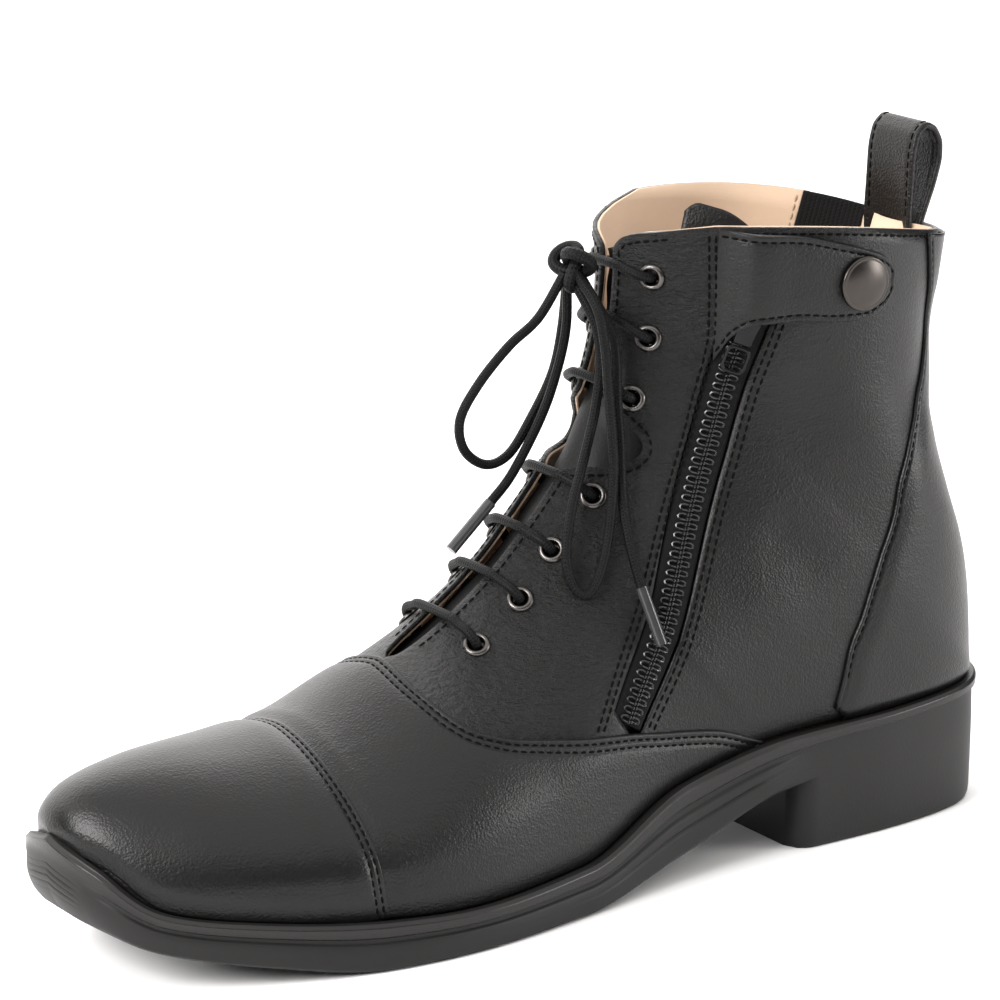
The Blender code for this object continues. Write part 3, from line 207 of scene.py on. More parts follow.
# The bow's routes: knot, loops and ends.
KNOT = (126.2, -7.5, 165.6)
KNOT_RADII = (6.4, 7.0, 6.4)
KNOT_DEPTH = 0.5
FAR_LOOP = [
    (136.0, -9.5, 152.0), (145.2, -10.0, 145.4), (154.6, -10.5, 136.2), (160.4, -11.0, 127.0),
    (158.6, -12.0, 118.2), (151.2, -13.0, 112.8), (143.4, -13.6, 114.4), (135.8, -14.4, 122.8),
    (128.2, -15.0, 134.4), (124.6, -15.4, 146.4),
]
NEAR_LOOP = [
    (125.0, 1.2, 151.0), (124.6, 3.1, 141.1), (127.1, 4.5, 129.0), (132.0, 6.8, 117.7), (139.0, 10.4, 103.8),
    (143.0, 13.6, 91.2), (142.6, 17.0, 83.8), (139.8, 19.4, 82.2), (135.2, 18.6, 87.8), (130.4, 15.6, 98.0),
    (127.0, 12.8, 113.2), (126.6, 11.4, 124.0), (126.4, 9.6, 134.4), (125.8, 7.2, 146.0), (126.4, 4.4, 156.0),
]
FAR_END = [
    (126.4, -10.6, 148.0), (129.8, -10.6, 135.4), (135.2, -10.6, 123.4), (144.4, -10.6, 109.6),
    (151.8, -10.6, 102.4),
]
NEAR_END = [
    (120.9, 2.6, 149.0), (121.0, 5.4, 141.2), (122.6, 8.2, 131.0), (122.9, 9.9, 120.2), (125.1, 14.2, 104.7),
    (126.5, 19.8, 93.5), (126.4, 25.2, 82.7),
]
FAR_AGLET = (164.2, -10.6, 91.5)
NEAR_AGLET = (124.2, 31.2, 68.3)
LEAVES = {
    "far_loop": ((0.75, -0.1, -0.65), (0.0, -0.75, -0.66)),
    "near_loop": ((0.35, 0.35, -0.87), (0.25, 0.85, -0.46)),
    "far_end": ((0.35, -0.35, -0.87),),
    "near_end": ((-0.35, 0.55, -0.76),),
}

# Soft creases, seen from the side: ends of the trough, its half width and depth.
CREASES = table(("name", "x0", "z0", "x1", "z1", "half", "depth"), [
    ("ankle_upper", 122.0, 119.0, 108.0, 126.0, 2.6, 0.45),
    ("ankle_middle", 127.0, 111.0, 109.0, 113.0, 2.8, 0.40),
    ("ankle_lower", 138.0, 98.0, 119.0, 96.0, 3.0, 0.45),
    ("instep_upper", 147.0, 86.0, 128.0, 82.0, 3.0, 0.40),
    ("instep_middle", 158.0, 76.0, 139.0, 69.0, 3.2, 0.40),
    ("instep_lower", 164.0, 66.0, 146.0, 59.0, 3.2, 0.35),
    ("quarter_long", 90.0, 96.0, 62.0, 76.0, 9.0, 0.55),
    ("shaft_long", 74.0, 140.0, 66.0, 108.0, 8.0, 0.40),
])


def length_setting(label, about, size):
    """A length that a user can change, in metres."""
    return FloatProperty(name=label, description=about, default=size, unit="LENGTH")


def colour_setting(label, about, value):
    """A colour that a user can change."""
    return FloatVectorProperty(name=label, description=about, default=value, subtype="COLOR")


class BootSizes(bpy.types.PropertyGroup):
    """Sizes of the boot's materials and small parts."""

    leather: length_setting("Leather", "Thickness of the upper's leather", 0.0012)
    lining: length_setting("Lining", "Thickness of the lining", 0.0007)
    stitch: length_setting("Stitch", "Length of one stitch on the leather", 0.0021)
    stitch_pitch: length_setting("Stitch pitch", "Distance from stitch to stitch", 0.0026)
    thread: length_setting("Thread", "Thickness of the sewing thread", 0.0008)
    lace: length_setting("Lace", "Diameter of the round lace", 0.0027)
    eyelet: length_setting("Eyelet", "Outer diameter of an eyelet's ring", 0.0074)
    snap: length_setting("Snap", "Diameter of the snap's cap", 0.0152)
    tooth_pitch: length_setting("Tooth pitch", "Distance from tooth to tooth of the zip", 0.0026)
    tread: length_setting("Tread", "Depth of the tread's grooves", 0.0011)


class BootColours(bpy.types.PropertyGroup):
    """Colours of the boot's materials."""

    leather: colour_setting("Leather", "Black leather", (0.0042, 0.0040, 0.0039))
    lining: colour_setting("Lining", "Lining and insole", (0.64, 0.47, 0.335))
    rubber: colour_setting("Rubber", "Sole and heel", (0.0085, 0.0082, 0.0080))
    thread: colour_setting("Thread", "Sewing thread", (0.0015, 0.0015, 0.0015))
    lace: colour_setting("Lace", "Waxed cord", (0.0038, 0.0038, 0.0040))
    fabric: colour_setting("Fabric", "Zip tape and elastic", (0.004, 0.004, 0.0042))
    teeth: colour_setting("Teeth", "Zip teeth", (0.006, 0.006, 0.0064))
    gunmetal: colour_setting("Gunmetal", "Eyelets", (0.10, 0.094, 0.09))
    nickel: colour_setting("Nickel", "Snap cap", (0.06, 0.054, 0.05))
    floor: colour_setting("Floor", "Studio floor", (0.90, 0.90, 0.90))


# Shape of the last


def eased(values, row):
    """Values at fractional rows: a cubic through the rows that never overshoots them."""
    values = np.asarray(values, float)
    row = np.clip(np.asarray(row, float), 0.0, len(values) - 1.0)
    i = np.minimum(row.astype(int), len(values) - 2)
    step = np.diff(values)
    product = step[:-1] * step[1:]
    slope = np.concatenate((step[:1], np.zeros(len(product)), step[-1:]))
    bends = product > 0.0
    slope[1:-1][bends] = 2.0 * product[bends] / (step[:-1] + step[1:])[bends]
    s = row - i
    rise = step[i] * s * s * (3 - 2 * s)
    return values[i] + rise + slope[i] * s * (1 - s) ** 2 + slope[i + 1] * s * s * (s - 1)


def soft_step(x):
    """Smooth rise from 0 to 1."""
    x = np.clip(x, 0.0, 1.0)
    return x * x * (3.0 - 2.0 * x)


def fade(x, rise, fall):
    """Share that rises to 1 over one stretch and falls to 0 over another, each a start and a run."""
    return soft_step((x - rise[0]) / rise[1]) * (1.0 - soft_step((x - fall[0]) / fall[1]))


def smooth_line(first, second, count):
    """Two columns of a table, at even steps along a smooth curve through its rows."""
    k = np.linspace(0.0, len(first) - 1, count)
    return eased(first, k), eased(second, k)


def unit(vectors):
    """The same directions, with length one."""
    return vectors / np.linalg.norm(vectors, axis=-1, keepdims=True)


def run_along(points):
    """Length of a line up to each of its points."""
    return np.concatenate(([0.0], np.cumsum(np.linalg.norm(np.diff(points, axis=0), axis=1))))


def columns_of(values, count):
    """A grid whose columns are all the given values."""
    return np.repeat(values[:, None], count, axis=1)


PLAN = np.array(list(zip(SOLE["x"], SOLE["near"])) + list(zip(SOLE["x"], SOLE["far"]))[-2:0:-1])


def plan_edge(q, inset=0.0):
    """Points on the sole's plan, q counted round the edge from the heel over the near side and back."""
    q = np.asarray(q, float)
    i = np.floor(q).astype(int)
    s = (q - i)[..., None]
    p0, p1, p2, p3 = (PLAN[(i + k) % ROUND] for k in (-1, 0, 1, 2))
    first, second, third = p2 - p0, 2 * p0 - 5 * p1 + 4 * p2 - p3, 3 * p1 - p0 - 3 * p2 + p3
    along = unit(first + 2 * s * second + 3 * s * s * third)
    inward = np.stack((along[..., 1], -along[..., 0]), axis=-1)
    return p1 + 0.5 * s * (first + s * (second + s * third)) + np.asarray(inset, float)[..., None] * inward


def sole_at(name, q):
    """Height column of the sole at places round its edge."""
    q = np.asarray(q, float)
    return eased(SOLE[name], np.where(q <= TOE, q, ROUND - q))


# Steps of the lattice, and the far rim's extra height and where along it that is greatest.
V_FINE = 20
U_FINE = 120
ARC_FINE = 240
FAR_RISE = 0.62
FAR_LEAN = 0.45

# Where the skin is eased round the heel: start and run of each fade along the last and up from the sole.
HEEL_PASSES = 140
HEEL_IN = (12.4, 0.9)
HEEL_OUT = (15.1, 1.0)
SIDE_IN = (0.0, 0.02)
SIDE_OUT = (0.15, 0.14)


def build_last():
    """Lattice of the upper's outer face and the lengths of each section's two halves."""
    v = np.linspace(0.0, RIM, RIM * V_FINE + 1)
    row = {name: eased(values, v)[:, None] for name, values in LAST.items()}
    station = row["station"][:, 0]
    near, far = plan_edge(station, FEATHER_INSET), plan_edge(ROUND - station, FEATHER_INSET)
    seat = np.column_stack((0.5 * (near + far), sole_at("floor", station) + FOOT_GAP))
    back_x = np.interp(row["rise"][:, 0], *smooth_line(BACK["height"], BACK["x"], 161))
    seam = np.column_stack((back_x, np.full_like(back_x, HEEL_MIDDLE), row["rise"][:, 0]))
    on_seam = row["rise"] > BACK["height"][0] + 1e-6
    foot = np.where(on_seam, seam, seat)
    foot_half = np.where(on_seam, 0.0, np.maximum(0.5 * (near - far)[:, 1:], 0.0))
    ridge = np.column_stack([row[name][:, 0] for name in ("ridge_x", "ridge_y", "ridge_z")])
    widest = np.maximum(foot_half + row["swell"], row["wide"])
    angle = np.linspace(0.0, 0.5 * math.pi, ARC_FINE + 1)[None, :]
    low_share = row["waist"] * (1.0 - np.cos(angle[:, :-1]) ** (2.0 / row["side"]))
    low_half = foot_half + (widest - foot_half) * np.sin(angle[:, :-1]) ** (2.0 / row["side"])
    high_share = row["waist"] + (1.0 - row["waist"]) * np.sin(angle) ** (2.0 / row["roof"])
    high_half = widest * np.maximum(np.cos(angle), 0.0) ** (2.0 / row["roof"])
    share = np.concatenate((low_share, high_share), axis=1)
    half = np.concatenate((low_half, high_half), axis=1)
    half[:, -1] = 0.0
    crown = row["crown"] * np.sin(math.pi * share)
    far_rise = FAR_RISE * row["crown"] * np.sin(math.pi * share ** FAR_LEAN) ** 2
    even = np.linspace(0.0, 1.0, U_FINE + 1)
    sides, lengths = [], []
    for sign in (NEAR, FAR):
        points = foot[:, None, :] + share[..., None] * (ridge - foot)[:, None, :]
        rise = crown if sign == NEAR else crown + far_rise
        points = points + np.stack((np.zeros_like(half), sign * half, rise), axis=-1)
        run = np.cumsum(np.linalg.norm(np.diff(points, axis=1), axis=2), axis=1)
        run = np.concatenate((np.zeros((len(v), 1)), run), axis=1)
        lengths.append(run[:, -1])
        sides.append(np.array([
            [np.interp(even * r[-1], r, p[:, axis]) for axis in range(3)] for r, p in zip(run, points)
        ]).transpose(0, 2, 1))
    for lattice in sides:
        soften_heel(lattice, v, 0.5 * even)
    return np.concatenate((sides[0], sides[1][:, -2::-1]), axis=1), lengths


def soften_heel(lattice, v, u):
    """Ease the turn from the sections round the heel into those up the back seam."""
    share = (fade(v, HEEL_IN, HEEL_OUT)[:, None] * fade(u, SIDE_IN, SIDE_OUT))[1:-1, :, None]
    for _ in range(HEEL_PASSES):
        lattice[1:-1] += share * (0.25 * lattice[:-2] - 0.5 * lattice[1:-1] + 0.25 * lattice[2:])


def padded_table(values):
    """A lattice with one straight row added on each side, for the cubic."""
    return np.pad(values, ((1, 1), (1, 1), (0, 0)), mode="reflect", reflect_type="odd")


def lattice_normals(points):
    """Outward normals of the lattice; both sides share the back seam's."""
    normals = np.cross(np.gradient(points, axis=0), np.gradient(points, axis=1))
    seam = SEAM_START * V_FINE
    shared = normals[seam:, 0] + normals[seam:, -1]
    normals[seam:, 0] = shared
    normals[seam:, -1] = shared
    return normals / np.maximum(np.linalg.norm(normals, axis=2, keepdims=True), 1e-9)


LATTICE, HALF_LENGTHS = build_last()
SKIN_TABLE = padded_table(LATTICE)
NORMAL_TABLE = padded_table(lattice_normals(LATTICE))
V_TABLE = np.linspace(0.0, RIM, RIM * V_FINE + 1)


def cubic(s):
    """Weights of four neighbours for a smooth curve through them."""
    return (0.5 * (-s + 2 * s * s - s ** 3), 0.5 * (2 - 5 * s * s + 3 * s ** 3),
            0.5 * (s + 4 * s * s - 3 * s ** 3), 0.5 * (s ** 3 - s * s))


def sampled(lattice, u, v):
    """Smooth value of a lattice at u and v."""
    u, v = np.broadcast_arrays(np.asarray(u, float), np.asarray(v, float))
    a = np.clip(v.ravel(), 0.0, RIM) * V_FINE
    b = np.clip(u.ravel(), 0.0, 1.0) * 2 * U_FINE
    i = np.minimum(a.astype(int), RIM * V_FINE - 1)
    j = np.minimum(b.astype(int), 2 * U_FINE - 1)
    total = np.zeros((len(a), 3))
    for p, weight in enumerate(cubic(a - i)):
        for q, other in enumerate(cubic(b - j)):
            total += (weight * other)[:, None] * lattice[i + p, j + q]
    return total.reshape(u.shape + (3,))


def skin(u, v):
    """Points of the upper's outer face, in millimetres."""
    return sampled(SKIN_TABLE, u, v)


def outward(u, v):
    """Unit normals of the upper's outer face."""
    return unit(sampled(NORMAL_TABLE, u, v))


def lifted(u, v, lift):
    """Points at a height above the upper's outer face."""
    return skin(u, v) + np.asarray(lift, float)[..., None] * outward(u, v)


def half_length(side, v):
    """Length of one side of the section, from the sole or back seam to the ridge."""
    return np.interp(v, V_TABLE, HALF_LENGTHS[0 if side == NEAR else 1])


def share_over(side, distance, v):
    """Part of u that a distance over the skin takes up on one side."""
    return np.minimum(0.5 * distance / np.maximum(half_length(side, v), 1e-6), 0.5)


def on_side(side, u):
    """u on the near side, or its mirror image on the far side."""
    return u if side == NEAR else 1.0 - u


def up_side(u):
    """u counted up from the foot of its own side."""
    return np.minimum(u, 1.0 - u)


def from_ridge(side, distance, v):
    """u at a distance from the ridge, measured over the skin."""
    return 0.5 - side * share_over(side, distance, v)


def from_foot(side, distance, v):
    """u at a distance from the sole's edge or the back seam."""
    return on_side(side, share_over(side, distance, v))


def slopes(u, v):
    """Changes of the skin's point with u and with v."""
    du, dv = 0.001, 0.004
    u0, u1 = np.maximum(u - du, 0.0), np.minimum(u + du, 1.0)
    v0, v1 = np.maximum(v - dv, 0.0), np.minimum(v + dv, RIM)
    across = (skin(u1, v) - skin(u0, v)) / (u1 - u0)[..., None]
    along = (skin(u, v1) - skin(u, v0)) / (v1 - v0)[..., None]
    return across, along


# Passes of the two searches on the skin, the second one's damping and the lowest v they may reach.
SETTLE_PASSES = 5
SIDE_PASSES = 14
SIDE_DAMPING = 0.7
LOWEST_V = 0.1


def settle(points, u, v):
    """u and v of the skin's points nearest to the given ones."""
    for _ in range(SETTLE_PASSES):
        away = points - skin(u, v)
        a, b = slopes(u, v)
        aa, bb, ab = (a * a).sum(-1), (b * b).sum(-1), (a * b).sum(-1)
        ae, be = (a * away).sum(-1), (b * away).sum(-1)
        det = np.maximum(aa * bb - ab * ab, 1e-9)
        u = np.clip(u + (bb * ae - ab * be) / det, 0.0, 1.0)
        v = np.clip(v + (aa * be - ab * ae) / det, LOWEST_V, RIM)
    return u, v


def beside(u, v, distance):
    """Line on the skin at a distance to the left of a line's own direction, seen from outside."""
    points = skin(u, v)
    left = unit(np.cross(outward(u, v), np.gradient(points, axis=0)))
    return settle(points + distance * left, u, v)


def from_side(x, z, side=NEAR):
    """u and v of the skin's points that have this x and z when seen from one side."""
    x, z = np.broadcast_arrays(np.asarray(x, float), np.asarray(z, float))
    shape = x.shape
    x, z = x.ravel(), z.ravel()
    vv, uu = np.meshgrid(np.arange(0.5, RIM + 0.01, 0.5), np.linspace(0.0, 0.46, 24), indexing="ij")
    uu, vv = on_side(side, uu).ravel(), vv.ravel()
    known = skin(uu, vv)
    best = np.argmin((known[None, :, 0] - x[:, None]) ** 2 + (known[None, :, 2] - z[:, None]) ** 2, axis=1)
    u, v = uu[best], vv[best]
    low, high = (0.0, 0.5) if side == NEAR else (0.5, 1.0)
    for _ in range(SIDE_PASSES):
        here = skin(u, v)
        a, b = slopes(u, v)
        det = a[:, 0] * b[:, 2] - a[:, 2] * b[:, 0]
        det = np.where(np.abs(det) < 1e-6, 1e-6, det)
        ex, ez = x - here[:, 0], z - here[:, 2]
        u = np.clip(u + SIDE_DAMPING * (ex * b[:, 2] - ez * b[:, 0]) / det, low, high)
        v = np.clip(v + SIDE_DAMPING * (a[:, 0] * ez - a[:, 2] * ex) / det, LOWEST_V, RIM)
    return u.reshape(shape), v.reshape(shape)


def line_table(gap):
    """u where each section rises to a height above the sole's edge."""
    line = sole_at("top", eased(LAST["station"], V_TABLE)) + gap
    found = []
    for points, height in zip(LATTICE, line):
        above = np.nonzero(points[:U_FINE + 1, 2] > height)[0]
        if len(above) == 0:
            found.append(0.5)
        elif above[0] == 0:
            found.append(0.0)
        else:
            k = above[0]
            low, high = points[k - 1, 2], points[k, 2]
            found.append((k - 1 + (height - low) / (high - low)) / (2 * U_FINE))
    return np.array(found)


TUCK_DEPTH = 0.5
TUCK_LINE = line_table(-TUCK_DEPTH)


def sole_line(v):
    """u where a panel tucks behind the sole's edge."""
    return np.interp(v, V_TABLE, TUCK_LINE)


def panel_edge(edge, u):
    """v of a panel's edge at u; both sides of the boot share the edge."""
    return np.interp(up_side(u), *smooth_line(edge["u"], edge["v"], 121))


def gore_back(v):
    """Distance of the gore's rear edge from the back seam."""
    return np.interp(v, GORE["v"], GORE["back"])


COUNTER_U, COUNTER_V = from_side(COUNTER_LINE["x"], COUNTER_LINE["z"])


def counter_edge(side, v):
    """Share round the section of the counter's edge; on the far side it stops short of the gore."""
    line = smooth_line(np.append(COUNTER_FOOT, COUNTER_V), np.append(0.0, COUNTER_U), 161)
    edge = np.interp(v, *line)
    if side == NEAR:
        return edge
    limit = 0.5 * (gore_back(v) - GORE_SEAM) / half_length(FAR, v)
    return np.where(v > GORE["v"][0], np.minimum(edge, limit), edge)


def throat_edge(side, v):
    """Distance of a facing's edge from the ridge."""
    return np.interp(v, *smooth_line(THROAT["v"], THROAT["near" if side == NEAR else "far"], 401))


def zip_place(share, offset=0.0):
    """u and v at a share of the zip's length and an offset across it."""
    row = np.asarray(share, float) * (len(ZIP["x"]) - 1)
    step = 0.05
    x, z = eased(ZIP["x"], row), eased(ZIP["z"], row)
    dx = eased(ZIP["x"], row + step) - eased(ZIP["x"], row - step)
    dz = eased(ZIP["z"], row + step) - eased(ZIP["z"], row - step)
    size = np.hypot(dx, dz)
    return from_side(x + offset * dz / size, z - offset * dx / size)


def even_sections(first, last, count):
    """Sections at even steps along the ridge of the foot."""
    fine = np.linspace(first, last, 400)
    points = skin(np.full_like(fine, 0.5), fine)
    run = run_along(points)
    return np.interp(np.linspace(0.0, run[-1], count), run, fine)


# Mesh tools


def placed(point):
    """Metres in the part's frame, from millimetres measured at the heel's back."""
    return Vector(((point[0] - CENTRE[0]) * MM, (point[1] - CENTRE[1]) * MM, point[2] * MM))


def woven(points, flip=False):
    """A grid laid on rows of points in millimetres, with its UV map."""
    rows, columns = points.shape[:2]
    bm = bmesh.new()
    bm.loops.layers.uv.new("UVMap")
    bmesh.ops.create_grid(bm, x_segments=columns - 1, y_segments=rows - 1, size=0.5, calc_uvs=True)
    for vert in bm.verts:
        i = round((vert.co.y + 0.5) * (rows - 1))
        j = round((vert.co.x + 0.5) * (columns - 1))
        vert.co = placed(points[i, j])
    if flip:
        bmesh.ops.reverse_faces(bm, faces=bm.faces)
    return bm


# Distances in metres at which points count as one, in a closed body and along a seam of sheets.
DOUBLED = 2e-6
DEGENERATE = 1e-7
UPPER_SEAM = 0.00012
COUNTER_SEAM = 0.00006


def closed_up(bm):
    """Merges doubled points, fills open ends and turns the faces outwards."""
    bmesh.ops.remove_doubles(bm, verts=bm.verts, dist=DOUBLED)
    bmesh.ops.dissolve_degenerate(bm, edges=bm.edges, dist=DEGENERATE)
    rims = [edge for edge in bm.edges if edge.is_boundary]
    if rims:
        bmesh.ops.holes_fill(bm, edges=rims, sides=0)
    bmesh.ops.recalc_face_normals(bm, faces=bm.faces)
    return bm


def joined(*shapes):
    """One bmesh from several."""
    whole = shapes[0]
    for other in shapes[1:]:
        spare = bpy.data.meshes.new("spare")
        other.to_mesh(spare)
        other.free()
        whole.from_mesh(spare)
        bpy.data.meshes.remove(spare)
    return whole


def sewn(shapes, distance):
    """One sheet from several whose edges lie close together."""
    bm = joined(*shapes)
    bmesh.ops.remove_doubles(bm, verts=bm.verts, dist=distance)
    return bm


FINISHES = {}


def add_piece(name, bm, finish, replaces=(), body=BODY, sharp=50.0):
    """A finished piece that rides on a body and stands for CAD nodes."""
    mesh = bpy.data.meshes.new(name)
    bm.to_mesh(mesh)
    bm.free()
    mesh.shade_smooth()
    mesh.set_sharp_from_angle(angle=math.radians(sharp))
    obj = bpy.data.objects.new(name, mesh)
    bpy.context.scene.collection.objects.link(obj)
    mesh.materials.append(FINISHES[finish])
    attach(obj, body)
    if replaces:
        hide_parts(*replaces)
    return obj


def thicken(obj, thick):
    """A wall of even thickness, in metres, behind an open sheet."""
    wall = obj.modifiers.new("wall", "SOLIDIFY")
    wall.thickness = thick
    wall.offset = -1.0
    wall.use_even_offset = False
    wall.use_quality_normals = True


def seen_from_side(obj):
    """x and z of a piece's points, in millimetres from the heel's back."""
    spots = np.array([vert.co for vert in obj.data.vertices]) / MM
    return spots[:, 0] + CENTRE[0], spots[:, 2]


def paint(obj, name, values):
    """A value for each point of a piece, read by its material."""
    layer = obj.data.attributes.new(name, "FLOAT", "POINT")
    layer.data.foreach_set("value", np.asarray(values, np.float32).ravel())


def tube(points, radius, around=12):
    """A round cord along points in millimetres, closed at its ends; V of its UV map is in millimetres."""
    along = unit(np.gradient(points, axis=0))
    side = np.cross(along[0], (0.0, 0.0, 1.0) if abs(along[0][2]) < 0.9 else (1.0, 0.0, 0.0))
    angles = np.linspace(0.0, 2.0 * math.pi, around + 1)
    rings = []
    for point, ahead in zip(points, along):
        side = unit(side - ahead * np.dot(side, ahead))
        up = np.cross(ahead, side)
        rings.append(point + radius * (np.cos(angles)[:, None] * side + np.sin(angles)[:, None] * up))
    bm = woven(np.array(rings))
    length = run_along(points)[-1]
    layer = bm.loops.layers.uv.active
    for face in bm.faces:
        for loop in face.loops:
            loop[layer].uv.y *= length
    return closed_up(bm)


def turned(profile, around, matrix):
    """A closed body turned from a profile of radius and height in millimetres, set on a seat."""
    profile = np.array(profile, float)
    angles = np.linspace(0.0, 2.0 * math.pi, around + 1)
    points = np.stack((
        profile[:, :1] * np.cos(angles), profile[:, :1] * np.sin(angles),
        np.repeat(profile[:, 1:], around + 1, axis=1)), axis=-1)
    bm = closed_up(woven(points + ORIGIN))
    bmesh.ops.transform(bm, matrix=matrix, verts=bm.verts)
    return bm


def seat_frame(u, v, lift, up):
    """Matrix of a seat on the upper: Z out of the skin, Y along the given direction."""
    z_axis = Vector(outward(u, v)).normalized()
    x_axis = Vector(up).cross(z_axis).normalized()
    matrix = Matrix((x_axis, z_axis.cross(x_axis), z_axis)).transposed().to_4x4()
    matrix.translation = placed(lifted(u, v, lift))
    return matrix


def smooth_route(points, step=1.5):
    """Even points along a smooth curve through a route's own points."""
    points = np.array(points, float)
    ends = np.vstack((2 * points[0] - points[1], points, 2 * points[-1] - points[-2]))
    route = []
    for p in range(len(points) - 1):
        count = max(int(round(np.linalg.norm(points[p + 1] - points[p]) / step)), 2)
        for s in np.arange(count) / count:
            route.append(sum(w * q for w, q in zip(cubic(s), ends[p:p + 4])))
    route.append(points[-1])
    return np.array(route)


# Finishes


def add_node(tree, kind, inputs=(), **settings):
    """A node; an input is a value or another node's output."""
    node = tree.nodes.new(kind)
    for name, value in settings.items():
        setattr(node, name, value)
    for name, value in dict(inputs).items():
        if isinstance(value, bpy.types.NodeSocket):
            tree.links.new(value, node.inputs[name])
        else:
            node.inputs[name].default_value = value
    return node


def sum_of(tree, operation, first, second):
    """Output of a math node."""
    return add_node(tree, "ShaderNodeMath", {0: first, 1: second}, operation=operation).outputs[0]


def spread(tree, value, low, high):
    """A 0 to 1 value spread between two limits."""
    return add_node(tree, "ShaderNodeMapRange", {"Value": value, "To Min": low, "To Max": high}).outputs[0]


def blend_colours(tree, share, first, second):
    """Colour between two, by a share."""
    mix = add_node(tree, "ShaderNodeMix", data_type="RGBA")
    tree.links.new(share, mix.inputs[0])
    for socket, colour in ((mix.inputs[6], first), (mix.inputs[7], second)):
        if isinstance(colour, bpy.types.NodeSocket):
            tree.links.new(colour, socket)
        else:
            socket.default_value = (*colour, 1.0)
    return mix.outputs[2]


def base_finish(name, roughness, metallic=0.0, coat=0.0, coat_roughness=0.3, sheen=0.0, specular=0.5):
    """A Principled finish, its node tree and shader."""
    mat = bpy.data.materials.new(name)
    mat.use_nodes = True
    shader = mat.node_tree.nodes["Principled BSDF"]
    for socket, value in (("Roughness", roughness), ("Metallic", metallic), ("Coat Weight", coat),
                          ("Coat Roughness", coat_roughness), ("Sheen Weight", sheen),
                          ("Specular IOR Level", specular)):
        shader.inputs[socket].default_value = value
    return mat, mat.node_tree, shader


def relief(tree, shader, height, depth, under=None):
    """Bump from a height, over an earlier bump if one is given."""
    inputs = {"Height": height, "Distance": depth, "Strength": 1.0}
    if under is not None:
        inputs["Normal"] = under
    bump = add_node(tree, "ShaderNodeBump", inputs)
    tree.links.new(bump.outputs[0], shader.inputs["Normal"])
    return bump.outputs[0]


def object_spot(tree):
    """Object coordinates."""
    return add_node(tree, "ShaderNodeTexCoord").outputs["Object"]


def noise(tree, spot, scale, detail=2.0, roughness=0.5):
    """Noise of features about one over scale metres wide."""
    inputs = {"Vector": spot, "Scale": scale, "Detail": detail, "Roughness": roughness}
    return add_node(tree, "ShaderNodeTexNoise", inputs).outputs[0]


def painted(tree, name):
    """Value painted on the piece's points."""
    return add_node(tree, "ShaderNodeAttribute", attribute_name=name).outputs["Fac"]


def own_map(tree):
    """U and V of the piece's own map."""
    uv = add_node(tree, "ShaderNodeTexCoord").outputs["UV"]
    axes = add_node(tree, "ShaderNodeSeparateXYZ", {"Vector": uv}).outputs
    return axes["X"], axes["Y"]


def turns(tree, value, count):
    """Angle that makes a number of turns while a value goes from 0 to 1."""
    return sum_of(tree, "MULTIPLY", value, 2.0 * math.pi * count)


def crossed(tree, first, second):
    """Height from 0 to 1 of two sets of threads, from the angles of their waves."""
    waves = [sum_of(tree, "SINE", angle, 0.0) for angle in (first, second)]
    return spread(tree, sum_of(tree, "MULTIPLY", *waves), 0.5, 1.0)


def times(colour, factor):
    """A darker or paler colour."""
    return tuple(factor * part for part in colour)


def toned(tree, share, colour, low, high):
    """Colour between a darker and a paler tone of one colour, by a share."""
    return blend_colours(tree, share, times(colour, low), times(colour, high))


def leather_finish(name, colour, gloss=0.40, grain=1.0):
    """Smooth full-grain leather: pores, pull-up wrinkles where it flexes, and a painted highlight, a paler
    colour along turned edges.
    """
    mat, tree, shader = base_finish(name, gloss, coat=0.04, coat_roughness=0.22, specular=0.27)
    spot = object_spot(tree)
    broad = noise(tree, spot, scale=38.0, detail=4.0)
    fine = noise(tree, spot, scale=1100.0, detail=3.0, roughness=0.6)
    pores = add_node(tree, "ShaderNodeTexVoronoi", {"Vector": spot, "Scale": 1500.0}).outputs[0]
    tone = toned(tree, broad, colour, 0.8, 1.3)
    # Painted highlight: a paler colour along the turned edges of the overlays.
    edge_highlight = blend_colours(tree, painted(tree, "wear"), tone, times(colour, 4.0))
    tree.links.new(edge_highlight, shader.inputs["Base Color"])
    patches = spread(tree, broad, gloss - 0.08, gloss + 0.06)
    rough = sum_of(tree, "ADD", patches, spread(tree, fine, -0.05, 0.05))
    tree.links.new(rough, shader.inputs["Roughness"])
    wrinkle = add_node(tree, "ShaderNodeMapping", {"Vector": spot, "Scale": (1.0, 1.0, 2.6)}).outputs[0]
    pull = noise(tree, wrinkle, scale=130.0, detail=5.0, roughness=0.62)
    lines = noise(tree, wrinkle, scale=330.0, detail=4.0, roughness=0.68)
    soft = relief(tree, shader, pull, 0.00016 * grain)
    folds = relief(tree, shader, sum_of(tree, "MULTIPLY", lines, painted(tree, "flex")), 0.0021, soft)
    surface = sum_of(tree, "ADD", sum_of(tree, "MULTIPLY", pores, 0.7), fine)
    relief(tree, shader, surface, 0.00013 * grain, folds)
    return mat


def lining_finish(name, colour):
    """Natural calf lining: warm and matt, with faint pores."""
    mat, tree, shader = base_finish(name, 0.72, sheen=0.05)
    spot = object_spot(tree)
    broad = noise(tree, spot, scale=55.0, detail=4.0)
    fine = noise(tree, spot, scale=1500.0, detail=3.0)
    tree.links.new(toned(tree, broad, colour, 0.86, 1.06), shader.inputs["Base Color"])
    relief(tree, shader, sum_of(tree, "ADD", fine, broad), 0.00008)
    return mat


